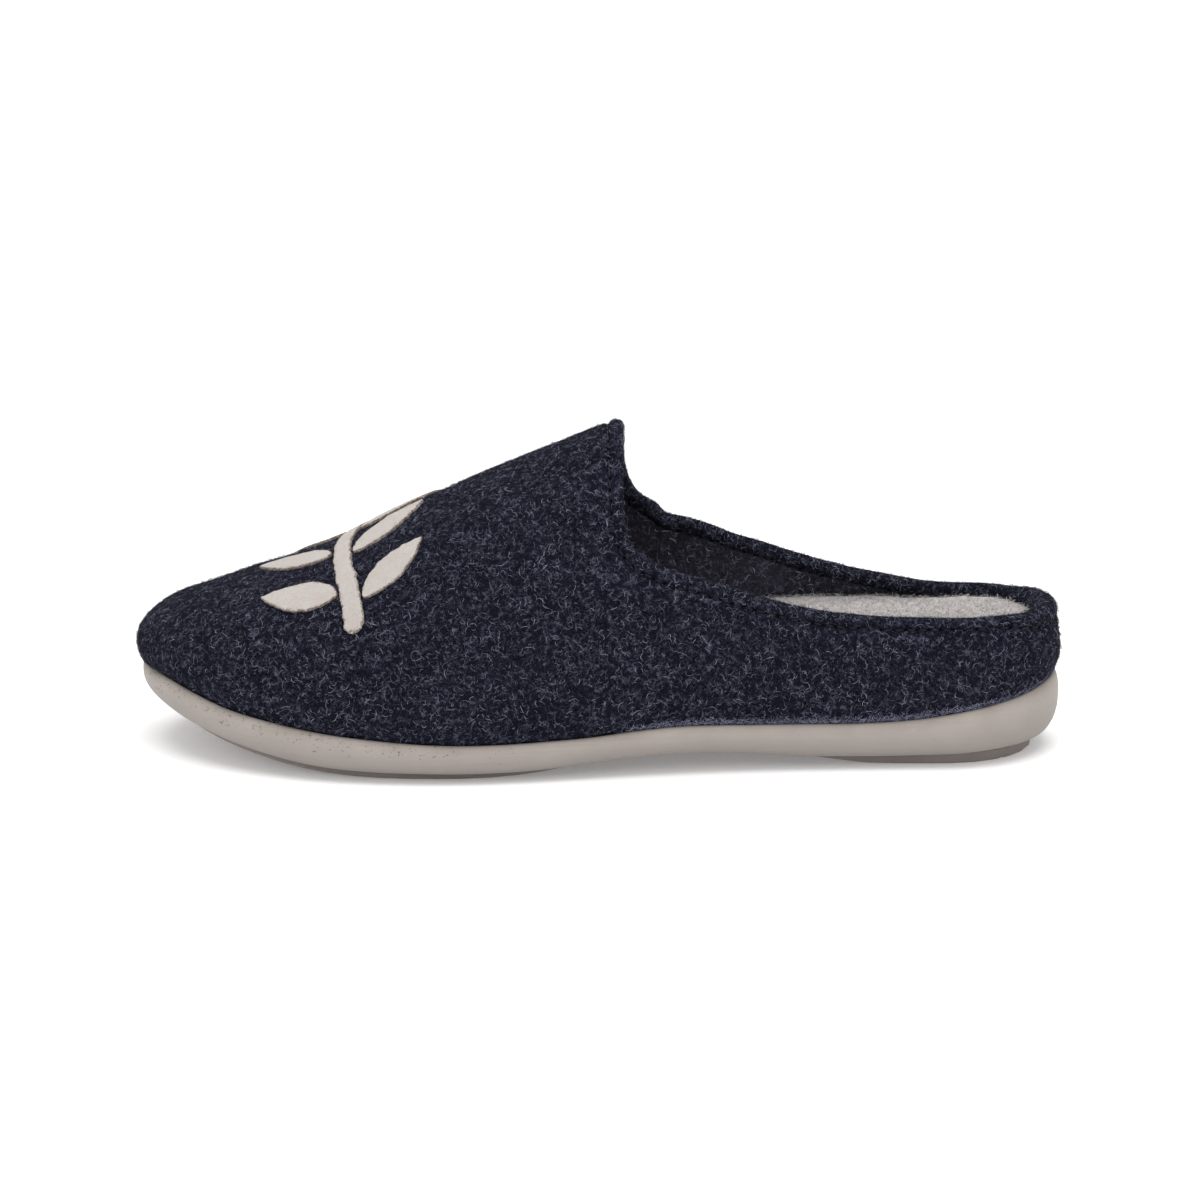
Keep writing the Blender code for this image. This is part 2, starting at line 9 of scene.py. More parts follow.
import bmesh
import bpy
import numpy as np
from bpy.props import FloatProperty, FloatVectorProperty, IntProperty, PointerProperty
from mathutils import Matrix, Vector, noise

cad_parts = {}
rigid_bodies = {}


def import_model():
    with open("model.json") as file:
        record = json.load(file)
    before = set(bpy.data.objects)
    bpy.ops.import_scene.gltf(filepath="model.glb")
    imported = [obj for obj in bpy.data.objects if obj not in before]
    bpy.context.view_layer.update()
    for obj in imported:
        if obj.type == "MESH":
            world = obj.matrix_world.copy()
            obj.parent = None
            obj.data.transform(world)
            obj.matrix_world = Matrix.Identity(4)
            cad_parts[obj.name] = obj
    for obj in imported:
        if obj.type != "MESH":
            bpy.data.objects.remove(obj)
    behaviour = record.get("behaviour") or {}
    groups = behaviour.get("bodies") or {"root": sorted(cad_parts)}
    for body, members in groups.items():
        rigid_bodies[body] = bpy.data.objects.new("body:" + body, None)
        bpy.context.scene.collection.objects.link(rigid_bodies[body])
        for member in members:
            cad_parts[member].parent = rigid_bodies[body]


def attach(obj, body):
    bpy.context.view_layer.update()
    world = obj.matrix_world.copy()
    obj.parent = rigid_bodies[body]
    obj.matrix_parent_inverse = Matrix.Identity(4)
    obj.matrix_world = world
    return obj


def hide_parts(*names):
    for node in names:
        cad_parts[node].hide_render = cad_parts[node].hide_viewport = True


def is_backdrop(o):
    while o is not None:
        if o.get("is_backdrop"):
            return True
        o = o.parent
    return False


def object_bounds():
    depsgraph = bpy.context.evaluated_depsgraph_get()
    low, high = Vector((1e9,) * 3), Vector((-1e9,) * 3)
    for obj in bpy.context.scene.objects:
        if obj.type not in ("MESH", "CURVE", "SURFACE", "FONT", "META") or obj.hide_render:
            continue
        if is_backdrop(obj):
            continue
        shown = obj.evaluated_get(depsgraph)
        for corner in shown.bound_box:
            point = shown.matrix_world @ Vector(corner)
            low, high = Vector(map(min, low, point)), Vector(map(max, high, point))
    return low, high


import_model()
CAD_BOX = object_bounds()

bl_info = {
    "name": "Felt slipper",
    "version": (1, 0, 0),
    "blender": (4, 5, 0),
    "location": "View3D > Sidebar > Slipper",
    "description": "Builds the felt, pile, rubber and stitching of a house slipper",
    "category": "Object",
}

MM = 0.001

# Sizes of the last and the upper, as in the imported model
LENGTH = 265 * MM
BALL_WIDTH = 98 * MM
INSTEP_HEIGHT = 95 * MM
COLLAR_HEIGHT = 42 * MM
VAMP_LENGTH = 139 * MM
FELT = 3 * MM
HEEL_ROUND = 34 * MM
TOE_ROUND = 74 * MM
TOE_DROP = 19 * MM
HEEL_DROP = 10.5 * MM
FEATHER_HEIGHT = 24 * MM
TUCK_DEPTH = 2.5 * MM
TUCK_INSET = 2.7 * MM
BULGE_RISE = 6.5 * MM
CLEARANCE = 0.3 * MM
RIM_BAND = 4.6 * MM
RIM_THICKNESS = 4.8 * MM
LIP_WIDTH = 0.9 * MM
SIDE_HEIGHT = 5.2 * MM
EDGE_ROUND = 6.5 * MM
TREAD = 3 * MM
TREAD_INSET = 8 * MM
TREAD_LIFT = 13.5 * MM
BED_HEIGHT = 38 * MM
BED_CUP = 2.2 * MM
BED_EDGE = 2 * MM
CUP_REACH = 15 * MM

# Sizes of the cut-out felt sprig
SPRIG_REACH = BALL_WIDTH * 0.48
SPRIG_SWAY = VAMP_LENGTH * 0.043
SPRIG_STEM = BALL_WIDTH * 0.057
SPRIG_GAP = 1.2 * MM
LEAF_LENGTH = VAMP_LENGTH * 0.18
LEAF_WIDTH = LEAF_LENGTH * 0.46
SPRIG_CENTRE = 0.752

HEEL_END = 0.15
SIDE_END = 0.40
ARCH_POWER = 1.9
MOST_LEAN = 2.5
OUTER, INNER = -1, 1
TINY = 1e-9

# Plan of the widest line: share of the length, half width and centre line.
PLAN_COLUMNS = ("share", "half_width", "centre")
PLAN = (
    (0.00, 0.337, 0.000),
    (0.13, 0.337, 0.000),
    (0.25, 0.337, -0.010),
    (0.33, 0.341, -0.022),
    (0.40, 0.352, -0.036),
    (0.50, 0.398, -0.041),
    (0.60, 0.454, -0.036),
    (0.66, 0.482, -0.023),
    (0.72, 0.493, -0.008),
    (0.80, 0.494, 0.015),
    (0.88, 0.492, 0.046),
    (0.94, 0.490, 0.061),
    (1.00, 0.490, 0.071),
)

# Side view of the last: share of the length, ridge and fullness of the arch.
RIDGE_COLUMNS = ("share", "ridge", "fullness")
RIDGE = (
    (0.00, 0.570, 1.70),
    (0.15, 0.575, 1.70),
    (0.25, 0.700, 2.05),
    (0.35, 0.900, 2.30),
    (0.42, 0.985, 2.20),
    (0.48, 1.000, 2.15),
    (0.54, 0.940, 2.12),
    (0.61, 0.858, 2.12),
    (0.67, 0.776, 2.15),
    (0.72, 0.709, 2.20),
    (0.78, 0.617, 2.25),
    (0.87, 0.521, 2.35),
    (0.93, 0.463, 2.40),
    (1.00, 0.412, 2.40),
)

# Side view of the bottom: the sole's lip, its lower edge, the tread and the footbed.
BOTTOM_COLUMNS = ("share", "lip", "edge", "lift", "bed")
BOTTOM = (
    (0.00, 0.917, 0.77, 0.000, 1.010),
    (0.03, 0.850, 0.75, 0.000, 1.005),
    (0.07, 0.768, 0.71, 0.000, 0.998),
    (0.11, 0.700, 0.65, 0.000, 0.990),
    (0.16, 0.616, 0.59, 0.000, 0.985),
    (0.22, 0.575, 0.57, 0.045, 0.985),
    (0.28, 0.575, 0.64, 0.225, 0.975),
    (0.34, 0.581, 0.86, 0.345, 0.940),
    (0.41, 0.592, 1.00, 0.370, 0.870),
    (0.46, 0.562, 0.90, 0.330, 0.800),
    (0.51, 0.511, 0.71, 0.235, 0.720),
    (0.56, 0.488, 0.48, 0.085, 0.650),
    (0.63, 0.473, 0.40, 0.000, 0.590),
    (0.69, 0.490, 0.42, 0.000, 0.565),
    (0.74, 0.530, 0.46, 0.010, 0.560),
    (0.80, 0.590, 0.61, 0.070, 0.570),
    (0.85, 0.660, 0.92, 0.180, 0.590),
    (0.90, 0.746, 1.40, 0.360, 0.630),
    (0.94, 0.860, 1.92, 0.540, 0.675),
    (0.97, 0.945, 2.36, 0.710, 0.715),
    (1.00, 1.000, 2.85, 0.880, 0.750),
)

# The rim, from the back of the heel to the top of the throat, on either side.
RIM_COLUMNS = ("along", "outer", "inner")
RIM = (
    (0.000, 0.030, 0.030),
    (0.060, 0.028, 0.006),
    (0.120, 0.027, 0.000),
    (0.250, 0.021, 0.004),
    (0.420, 0.046, 0.068),
    (0.590, 0.112, 0.165),
    (0.690, 0.172, 0.242),
    (0.820, 0.270, 0.340),
    (0.930, 0.372, 0.443),
    (0.970, 0.440, 0.550),
    (0.990, 0.540, 0.680),
    (0.997, 0.710, 0.810),
    (1.000, 1.000, 1.000),
)

# Side of the sole: share of its height, and how far in.
FLANK_COLUMNS = ("up", "inset")
FLANK = (
    (0.00, 1.00),
    (0.05, 0.66),
    (0.18, 0.34),
    (0.38, 0.12),
    (0.62, 0.05),
    (0.86, 0.09),
    (0.97, 0.19),
)

# The sprig: where each leaf leaves the stem, its angle from it in degrees and its size.
LEAVES = (
    (0.08, 58, 0.85),
    (0.14, -58, 0.95),
    (0.31, 56, 1.00),
    (0.37, -56, 1.00),
    (0.54, 55, 1.00),
    (0.60, -55, 0.95),
    (0.76, 54, 0.90),
    (0.82, -54, 0.85),
    (1.00, 0, 0.80),
)

# Mesh density
HEEL_COLUMNS = 28
SIDE_COLUMNS = 32
VAMP_COLUMNS = 92
PATH_SAMPLES = 720
WALL_SAMPLES = 400


def smooth(xs, ys, x):
    """A smooth curve through the points, read at x, which may be an array."""
    xs, ys = np.asarray(xs, float), np.asarray(ys, float)
    x = np.clip(x, xs[0], xs[-1])
    i = np.clip(np.searchsorted(xs, x, side="right") - 1, 0, len(xs) - 2)
    chords = np.diff(ys) / np.diff(xs)
    step = np.diff(xs)[i]
    start = (chords[np.maximum(i - 1, 0)] + chords[i]) / 2
    end = (chords[i] + chords[np.minimum(i + 1, len(chords) - 1)]) / 2
    t = (x - xs[i]) / step
    return (
        ys[i] * (1 + 2 * t) * (1 - t) ** 2
        + start * step * t * (1 - t) ** 2
        + ys[i + 1] * t**2 * (3 - 2 * t)
        + end * step * t**2 * (t - 1)
    )


def read(table, columns, name, share):
    """A named column of a table at a share of the length."""
    rows = np.array(table)
    return smooth(rows[:, 0], rows[:, columns.index(name)], share)


def round_end(distance, length, power, root=2.0):
    """0 at the very end of a shape, 1 from a length inwards, and round between."""
    out = 1 - np.clip(distance / length, 0.0, 1.0)
    return (1 - out**power) ** (1 / root)


def station(share):
    """x of a share of the length, from the heel at +X to the toe at -X."""
    return LENGTH * (0.5 - share)


def share_at(x):
    return 0.5 - x / LENGTH


def half_width(share):
    ends = round_end(share * LENGTH, HEEL_ROUND, 2.0)
    ends = ends * round_end((1 - share) * LENGTH, TOE_ROUND, 2.4)
    return BALL_WIDTH * read(PLAN, PLAN_COLUMNS, "half_width", share) * ends


@functools.cache
def plan_shift():
    """Sideways move that puts the middle of the whole plan on the X axis."""
    shares = np.linspace(0, 1, 241)
    line = BALL_WIDTH * read(PLAN, PLAN_COLUMNS, "centre", shares)
    half = half_width(shares)
    return -((line + half).max() + (line - half).min()) / 2


def centre(share):
    return BALL_WIDTH * read(PLAN, PLAN_COLUMNS, "centre", share) + plan_shift()


def lip_height(share):
    return FEATHER_HEIGHT * read(BOTTOM, BOTTOM_COLUMNS, "lip", share)


def edge_height(share):
    return SIDE_HEIGHT * read(BOTTOM, BOTTOM_COLUMNS, "edge", share)


def tread_height(share):
    return TREAD_LIFT * np.maximum(0.0, read(BOTTOM, BOTTOM_COLUMNS, "lift", share))


def bed_height(share):
    return BED_HEIGHT * read(BOTTOM, BOTTOM_COLUMNS, "bed", share)


def ridge_height(share):
    """Top of the last, with both ends turned down to its widest line."""
    low = lip_height(share) + BULGE_RISE
    top = INSTEP_HEIGHT * read(RIDGE, RIDGE_COLUMNS, "ridge", share)
    toe = round_end((1 - share) * LENGTH, TOE_DROP, 3.4)
    heel = round_end(share * LENGTH, HEEL_DROP, 3.0, 1.25)
    return low + (top - low) * toe * heel


def last_height(x, y):
    """Height of the last's outer surface over points of its plan."""
    share = share_at(x)
    wide = np.maximum(half_width(share), TINY)
    low = lip_height(share) + BULGE_RISE
    power = read(RIDGE, RIDGE_COLUMNS, "fullness", share)
    across = np.clip(np.abs(y - centre(share)) / wide, 0.0, 1.0)
    arch = (1 - across**power) ** (1 / ARCH_POWER)
    return low + (ridge_height(share) - low) * arch


def last_side(share, height, side):
    """y of the last's outer surface at a height, on one side."""
    low = lip_height(share) + BULGE_RISE
    rise = (height - low) / np.maximum(ridge_height(share) - low, TINY)
    power = read(RIDGE, RIDGE_COLUMNS, "fullness", share)
    across = (1 - np.clip(rise, 0.0, 1.0) ** ARCH_POWER) ** (1 / power)
    return centre(share) + side * half_width(share) * across


def outline_path(side):
    """The widest line on one side, from the back of the heel to the toe tip."""
    share = (1 - np.cos(np.linspace(0, np.pi, PATH_SAMPLES + 1))) / 2
    y = centre(share) + side * half_width(share)
    return np.stack([station(share), y, lip_height(share) + BULGE_RISE], 1)


def rim_path(side):
    """The rim on one side, from the back of the heel to the top of the throat."""
    throat = 1 - VAMP_LENGTH / LENGTH
    climb = ridge_height(throat) - COLLAR_HEIGHT
    rows = np.array(RIM)
    along = rows[:, 0]
    rise = rows[:, RIM_COLUMNS.index("outer" if side == OUTER else "inner")]
    tries = np.linspace(0, HEEL_END, 4001)
    back = tries[np.argmax(ridge_height(tries) >= COLLAR_HEIGHT + climb * rise[0])]
    runs = np.hypot(np.diff(along) * throat * LENGTH, np.diff(rise) * climb)
    knots = np.concatenate([[0], np.cumsum(runs)])
    at = knots[-1] * np.linspace(0, 1, PATH_SAMPLES + 1) ** 1.5
    share = back + (throat - back) * smooth(knots, along, at)
    y = last_side(share, COLLAR_HEIGHT + climb * smooth(knots, rise, at), side)
    return np.stack([station(share), y, last_height(station(share), y)], 1)


def lengths_of(path):
    """Distance along a path at each of its points."""
    steps = np.linalg.norm(np.diff(path, axis=0), axis=1)
    return np.concatenate([[0], np.cumsum(steps)])


def points_at(path, distances):
    """Points of a path at distances along it."""
    lengths = lengths_of(path)
    return np.stack([np.interp(distances, lengths, path[:, k]) for k in range(3)], 1)


def side_columns(side):
    """Points on the widest line and on the rim, from the heel to the toe."""
    outline, rim = outline_path(side), rim_path(side)
    ends = []
    for path in (outline, rim):
        lengths = lengths_of(path)
        marks = [lengths[np.argmax(path[:, 0] <= station(s))] for s in (HEEL_END, SIDE_END)]
        ends.append([0.0, *marks, lengths[-1]])
    feet, heads = [], []
    for zone, count in enumerate((HEEL_COLUMNS, SIDE_COLUMNS, VAMP_COLUMNS)):
        f = np.arange(count) / count
        g = f if zone < 2 else f * (1.6 - 0.6 * f)
        for ways, part, stops in ((feet, f, ends[0]), (heads, g, ends[1])):
            ways.append(stops[zone] + (stops[zone + 1] - stops[zone]) * part)
    feet = np.concatenate([*feet, [ends[0][-1]]])
    heads = np.concatenate([*heads, [ends[1][-1]]])
    return points_at(outline, feet), points_at(rim, heads)


class Last:
    """The columns of the last round the foot: heel, outer side, toe, inner side."""

    def __init__(self):
        outer, inner = side_columns(OUTER), side_columns(INNER)
        self.widest = np.concatenate([outer[0], inner[0][-2:0:-1]])
        self.rim = np.concatenate([outer[1], inner[1][-2:0:-1]])
        self.count = len(self.widest)
        along = np.roll(self.widest, -1, 0) - np.roll(self.widest, 1, 0)
        out = np.stack([along[:, 1], -along[:, 0], along[:, 2] * 0], 1)
        out /= np.linalg.norm(out, axis=1, keepdims=True)
        self.out = out if out[0, 0] > 0 else -out
        self.share = share_at(self.widest[:, 0])
        part = (np.linspace(0, 1, WALL_SAMPLES + 1) ** 3)[None, :]
        a, b = self.widest[:, None], self.rim[:, None]
        x = a[..., 0] + (b - a)[..., 0] * part
        y = a[..., 1] + (b - a)[..., 1] * part
        self.walls = np.stack([x, y, last_height(x, y)], 2)

    def loop(self, inset, height):
        """A closed loop drawn in from the widest line, at a height for each share."""
        points = self.widest - self.out * inset
        points[:, 2] = height(self.share)
        return points

    def tuck(self, part):
        """The felt between the sole's lip, part 0, and its widest line, part 1."""
        inset = TUCK_INSET * (1 - math.sin(part * math.pi / 2) ** 0.8)
        return self.loop(inset, lambda s: lip_height(s) + BULGE_RISE * part)

    def inside(self, height, clear):
        """A loop inside the felt wall, clear of its inner face."""
        tucked = np.stack([self.tuck(k / 40) for k in range(40)], 1)
        walls = np.concatenate([tucked, self.walls], 1)
        goal = height(self.share)
        above = walls[:, 1:, 2] >= goal[:, None]
        k = np.where(above.any(1), above.argmax(1), walls.shape[1] - 2)
        every = np.arange(self.count)
        low, high = walls[every, k], walls[every, k + 1]
        climb = np.maximum(high[:, 2] - low[:, 2], TINY)
        part = np.clip((goal - low[:, 2]) / climb, 0.0, 1.0)[:, None]
        lean = np.linalg.norm(high - low, axis=1) / climb
        thick = (FELT * np.minimum(lean, MOST_LEAN) + clear)[:, None]
        points = low + (high - low) * part - self.out * thick
        points[:, 2] = goal
        return points


@functools.cache
def last():
    return Last()


def grid_normals(grid):
    """Outward unit normals of a grid of closed loops, shaped rows, columns, 3."""
    around = np.roll(grid, -1, 1) - np.roll(grid, 1, 1)
    up = np.gradient(grid, axis=0)
    normals = np.cross(around, up)
    normals /= np.maximum(np.linalg.norm(normals, axis=2, keepdims=True), TINY)
    middle = grid.mean((0, 1))
    facing = ((grid - middle) * normals).sum(2).mean()
    return normals if facing > 0 else -normals


def noise_at(points, size, seed):
    """Smooth noise from -1 to 1 at each point, with lumps of about a size."""
    shift = Vector((seed * 17.3, seed * 5.1, seed * 9.7))
    flat = points.reshape(-1, 3) / size
    values = [noise.noise(Vector(p) + shift) for p in flat]
    return np.array(values).reshape(points.shape[:-1])


def mesh_object(name, points, faces, materials):
    """A smooth-shaded object at the origin from arrays of points and faces."""
    mesh = bpy.data.meshes.new(name)
    mesh.from_pydata([tuple(p) for p in points], [], faces)
    mesh.validate()
    for finish in materials:
        mesh.materials.append(finish)
    mesh.shade_smooth()
    made = bpy.data.objects.new(name, mesh)
    bpy.context.scene.collection.objects.link(made)
    return made


def loop_faces(rows, count, closed_rows=False):
    """Quads between loops of a count of points. closed_rows joins last to first."""
    faces = []
    for r in range(rows if closed_rows else rows - 1):
        for i in range(count):
            j = (i + 1) % count
            up = (r + 1) % rows
            faces.append((r * count + i, r * count + j, up * count + j, up * count + i))
    return faces


def ladder(count, start):
    """Faces that close a loop with strips from one side of the foot to the other."""
    faces = []
    for i in range(count // 2):
        corners = [i, i + 1, -(i + 1) % count, -i % count]
        kept = sorted(set(corners), key=corners.index)
        if len(kept) > 2:
            faces.append(tuple(start + k for k in kept))
    return faces


def face_outwards(made):
    """Turns a closed mesh's faces outwards."""
    bm = bmesh.new()
    bm.from_mesh(made.data)
    bmesh.ops.recalc_face_normals(bm, faces=bm.faces[:])
    bm.to_mesh(made.data)
    bm.free()


def store(made, name, values):
    """A number for each point of a mesh, which materials and nodes can read."""
    kept = made.data.attributes.new(name, "FLOAT", "POINT")
    kept.data.foreach_set("value", np.asarray(values, np.float32).ravel())


def ready(made, slot, *nodes):
    """Puts a piece on the slipper and hides the plain solids that it stands for."""
    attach(made, "root")
    if nodes:
        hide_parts(*nodes)


# Materials


def toned(colour, factor):
    """A colour times one factor, or times one for each of red, green and blue."""
    return tuple(float(c) for c in np.multiply(tuple(colour), factor))


class Shade:
    """Short ways to add and join shader nodes in one material."""

    def __init__(self, name):
        self.material = bpy.data.materials.new(name)
        self.material.use_nodes = True
        self.tree = self.material.node_tree
        self.shader = self.tree.nodes["Principled BSDF"]

    def join(self, value, socket):
        if isinstance(value, bpy.types.NodeSocket):
            self.tree.links.new(value, socket)
        else:
            socket.default_value = value

    def node(self, kind, inputs=(), **settings):
        made = self.tree.nodes.new(kind)
        for key, value in settings.items():
            setattr(made, key, value)
        for key, value in dict(inputs).items():
            self.join(value, made.inputs[key])
        return made

    def place(self, size):
        """Object coordinates counted in lumps of a size."""
        spot = self.node("ShaderNodeTexCoord").outputs["Object"]
        turn = {"Vector": spot, "Scale": (1 / size,) * 3}
        return self.node("ShaderNodeMapping", turn).outputs["Vector"]

    def noise(self, size, detail=3.0, rough=0.55, out="Fac", spot=None):
        inputs = {"Vector": spot or self.place(size), "Scale": 1.0}
        inputs.update({"Detail": detail, "Roughness": rough})
        return self.node("ShaderNodeTexNoise", inputs).outputs[out]

    def warped(self, size, bend, lump):
        """Coordinates that curl as felted hairs do."""
        wave = self.noise(lump, 2.0, 0.6, "Color")
        centred = self.vector("SUBTRACT", wave, (0.5,) * 3)
        shift = self.node("ShaderNodeVectorMath", {0: centred, 3: bend / size}, operation="SCALE")
        return self.vector("ADD", self.place(size), shift.outputs[0])

    def vector(self, operation, a, b):
        return self.node("ShaderNodeVectorMath", {0: a, 1: b}, operation=operation).outputs[0]

    def math(self, operation, a, b=0.0, clamp=False):
        made = self.node("ShaderNodeMath", {0: a, 1: b}, operation=operation, use_clamp=clamp)
        return made.outputs[0]

    def times(self, a, b):
        return self.math("MULTIPLY", a, b)

    def range(self, value, low, high, start=0.0, end=1.0):
        """Reads a value from low to high as start to end."""
        inputs = {0: value, 1: low, 2: high, 3: start, 4: end}
        return self.node("ShaderNodeMapRange", inputs).outputs[0]

    def mix(self, part, a, b):
        made = self.node("ShaderNodeMix", {0: part}, data_type="RGBA")
        for value, socket in ((a, made.inputs[6]), (b, made.inputs[7])):
            linked = isinstance(value, bpy.types.NodeSocket)
            self.join(value if linked else (*value, 1.0), socket)
        return made.outputs[2]

    def attribute(self, name):
        return self.node("ShaderNodeAttribute", attribute_name=name).outputs["Fac"]

    def hairs(self, size, bend, lump, width):
        """Thin curling lines, 1 on a hair and 0 between."""
        inputs = {"Vector": self.warped(size, bend, lump), "Scale": 1.0}
        cells = self.node("ShaderNodeTexVoronoi", inputs, feature="DISTANCE_TO_EDGE")
        return self.range(cells.outputs["Distance"], width, 0.0)

    def bump(self, height, strength, distance, under=None):
        inputs = {"Height": height, "Strength": strength, "Distance": distance}
        if under:
            inputs["Normal"] = under
        return self.node("ShaderNodeBump", inputs).outputs["Normal"]

    def finish(self, colour, rough, normal, sheen=0.0, tint=(1, 1, 1), gloss=0.3):
        inputs = self.shader.inputs
        self.join(colour, inputs["Base Color"])
        self.join(rough, inputs["Roughness"])
        self.join(normal, inputs["Normal"])
        inputs["Sheen Weight"].default_value = sheen
        inputs["Sheen Roughness"].default_value = 0.55
        inputs["Sheen Tint"].default_value = (*tint, 1)
        inputs["Specular IOR Level"].default_value = gloss
        return self.material


def felt_finish(name, dark, middle, light, fleck):
    """Heathered wool felt: a dark ground with paler hairs of several sizes."""
    s = Shade(name)
    clumps = s.range(s.noise(3.4 * MM, 2.0, 0.5), 0.38, 0.62)
    cloud = s.range(s.noise(14 * MM, 2.0), 0.35, 0.65)
    grain = s.noise(0.9 * MM, 3.0, 0.75)
    long_hairs = s.hairs(1.9 * MM, 2.6 * MM, 1.6 * MM, 0.10)
    mid_hairs = s.hairs(1.25 * MM, 1.8 * MM, 1.1 * MM, 0.13)
    fine_hairs = s.hairs(0.8 * MM, 1.2 * MM, 0.7 * MM, 0.13)
    gate_long = s.range(s.noise(2.2 * MM, 2.0, 0.5), 0.50, 0.62)
    gate_mid = s.range(s.noise(1.7 * MM, 2.0, 0.5), 0.47, 0.62)
    ground = s.mix(s.range(grain, 0.36, 0.66), dark, middle)
    ground = s.mix(s.times(clumps, 0.55), ground, dark)
    warm = toned(middle, (1.35, 1.3, 1.25))
    ground = s.mix(s.times(cloud, 0.4), ground, warm)
    half = tuple((a + b) / 2 for a, b in zip(middle, light))
    fine = s.mix(s.times(fine_hairs, 0.22), ground, half)
    body = s.mix(s.times(s.times(mid_hairs, gate_mid), fleck * 0.6), fine, light)
    colour = s.mix(s.times(s.times(long_hairs, gate_long), fleck), body, light)
    # painted shade: the felt is darkened along the stitch groove, where shade falls
    seam = s.range(s.attribute("seam"), 0.15, 0.9)
    colour = s.mix(s.times(seam, 0.9), colour, toned(dark, 0.4))
    relief = s.math("ADD", s.times(grain, 0.9), s.times(mid_hairs, 0.5))
    relief = s.math("ADD", relief, s.times(long_hairs, 0.5))
    relief = s.math("SUBTRACT", relief, s.times(clumps, 0.8))
    rough = s.range(grain, 0.2, 0.8, 0.9, 1.0)
    return s.finish(colour, rough, s.bump(relief, 1.0, 0.5 * MM), gloss=0.03)


def hair_finish(name, dark, light):
    """Loose hairs, each of a tone between two colours."""
    s = Shade(name)
    tone = s.math("POWER", s.attribute("shade"), 2.4)
    patchy = s.times(s.range(s.noise(3 * MM), 0.3, 0.7), 0.35)
    colour = s.mix(s.math("SUBTRACT", tone, patchy, True), dark, light)
    wave = s.noise(0.3 * MM, 2.0)
    normal = s.bump(wave, 0.2, 0.03 * MM)
    return s.finish(colour, s.range(wave, 0.3, 0.7, 0.8, 1.0), normal, gloss=0.1)


def cream_felt_finish(light, edge):
    """Off-white cut felt with painted shade, in a brown tone, along its cut edges and sides, and a
    matted nap.
    """
    s = Shade("cream cut felt")
    grain = s.noise(0.5 * MM, 4.0, 0.7)
    hairs = s.hairs(0.8 * MM, 1.1 * MM, 0.7 * MM, 0.16)
    cloud = s.range(s.noise(4 * MM), 0.35, 0.7)
    colour = s.mix(s.range(grain, 0.3, 0.62), toned(light, 0.74), light)
    colour = s.mix(s.times(cloud, 0.6), colour, toned(light, (0.86, 0.78, 0.77)))
    # painted shade: the cut sides, and a narrow band of the face beside them, are painted a dark
    # brown
    rim = s.attribute("edge")
    wander = s.math("ADD", rim, s.range(s.noise(0.7 * MM, 2.0, 0.6), 0.3, 0.7, -0.55, 0.45))
    edge_shade = s.range(wander, 0.55, 1.0)
    colour = s.mix(s.times(edge_shade, 0.85), colour, edge)
    specks = s.range(s.noise(0.42 * MM, 2.0, 0.6), 0.62, 0.74)
    strewn = s.math("ADD", s.times(rim, 0.6), 0.4, True)
    colour = s.mix(s.times(specks, strewn), colour, edge)
    relief = s.math("ADD", grain, s.times(hairs, 0.5))
    rough = s.range(grain, 0.2, 0.8, 0.88, 1.0)
    return s.finish(colour, rough, s.bump(relief, 0.7, 0.3 * MM), 0.2, (1, 0.97, 0.92), 0.2)


def pile_finish(light):
    """Off-white wool pile."""
    s = Shade("cream wool pile")
    grain = s.noise(0.9 * MM, 4.0, 0.7)
    tufts = s.noise(2.6 * MM, 3.0, 0.6)
    height = s.math("ADD", s.times(grain, 0.5), s.times(tufts, 0.6))
    colour = s.mix(s.range(height, 0.4, 0.66), toned(light, 0.66), light)
    rough = s.range(grain, 0.2, 0.8, 0.9, 1.0)
    return s.finish(colour, rough, s.bump(height, 0.9, 0.8 * MM), 0.25, (1, 0.97, 0.94), 0.2)


def rubber_finish(name, light, low, rough, top="up"):
    """Moulded foam rubber: a fine skin with pinholes, with painted shade that darkens it towards
    its lower edge.

    top names the attribute that runs from its lower edge, 0, to its lip, 1.
    """
    s = Shade(name)
    skin = s.noise(0.35 * MM, 3.0, 0.6)
    cloud = s.range(s.noise(12 * MM, 3.0), 0.3, 0.7)
    holes = s.node("ShaderNodeTexVoronoi", {"Vector": s.place(2.1 * MM), "Scale": 1.0})
    near = s.range(holes.outputs["Distance"], 0.10, 0.03)
    parts = s.node("ShaderNodeSeparateColor", {0: holes.outputs["Color"]})
    pits = s.times(near, s.range(parts.outputs[0], 0.72, 0.78))
    height = s.attribute(top) if top else s.range(cloud, 0.0, 1.0)
    # with top, painted shade: darker towards the lower edge, lighter towards the lip; without it,
    # a random cloud
    colour = s.mix(s.range(height, 0.0, 0.85), low, light)
    shade = toned(low, 0.9)
    colour = s.mix(s.times(cloud, 0.25), colour, shade)
    # painted shade: the pinholes are darkened as well as sunk
    colour = s.mix(s.times(pits, 0.55), colour, toned(low, 0.3))
    colour = s.mix(s.range(skin, 0.5, 0.8, 0.0, 0.16), colour, shade)
    spot = s.node("ShaderNodeTexCoord").outputs["Object"]
    drawn = {"Vector": spot, "Scale": (1 / (24 * MM), 1 / (24 * MM), 1 / (0.6 * MM))}
    streaks = s.noise(MM, 3.0, 0.6, "Fac", s.node("ShaderNodeMapping", drawn).outputs["Vector"])
    colour = s.mix(s.range(streaks, 0.5, 0.75, 0.0, 0.22), colour, shade)
    if top:
        # painted shade, warm-tinted, just under the felt's edge
        under_felt_shade = s.times(s.range(height, 0.72, 1.0), s.range(cloud, 0.1, 0.9, 0.1, 0.5))
        colour = s.mix(s.times(under_felt_shade, 0.55), colour, toned(low, (0.62, 0.52, 0.42)))
    relief = s.math("SUBTRACT", s.times(skin, 0.35), pits)
    fine = s.range(skin, 0.3, 0.7, rough - 0.06, rough + 0.08)
    return s.finish(colour, fine, s.bump(relief, 0.5, 0.12 * MM), 0.05, (1, 0.96, 0.92), 0.4)


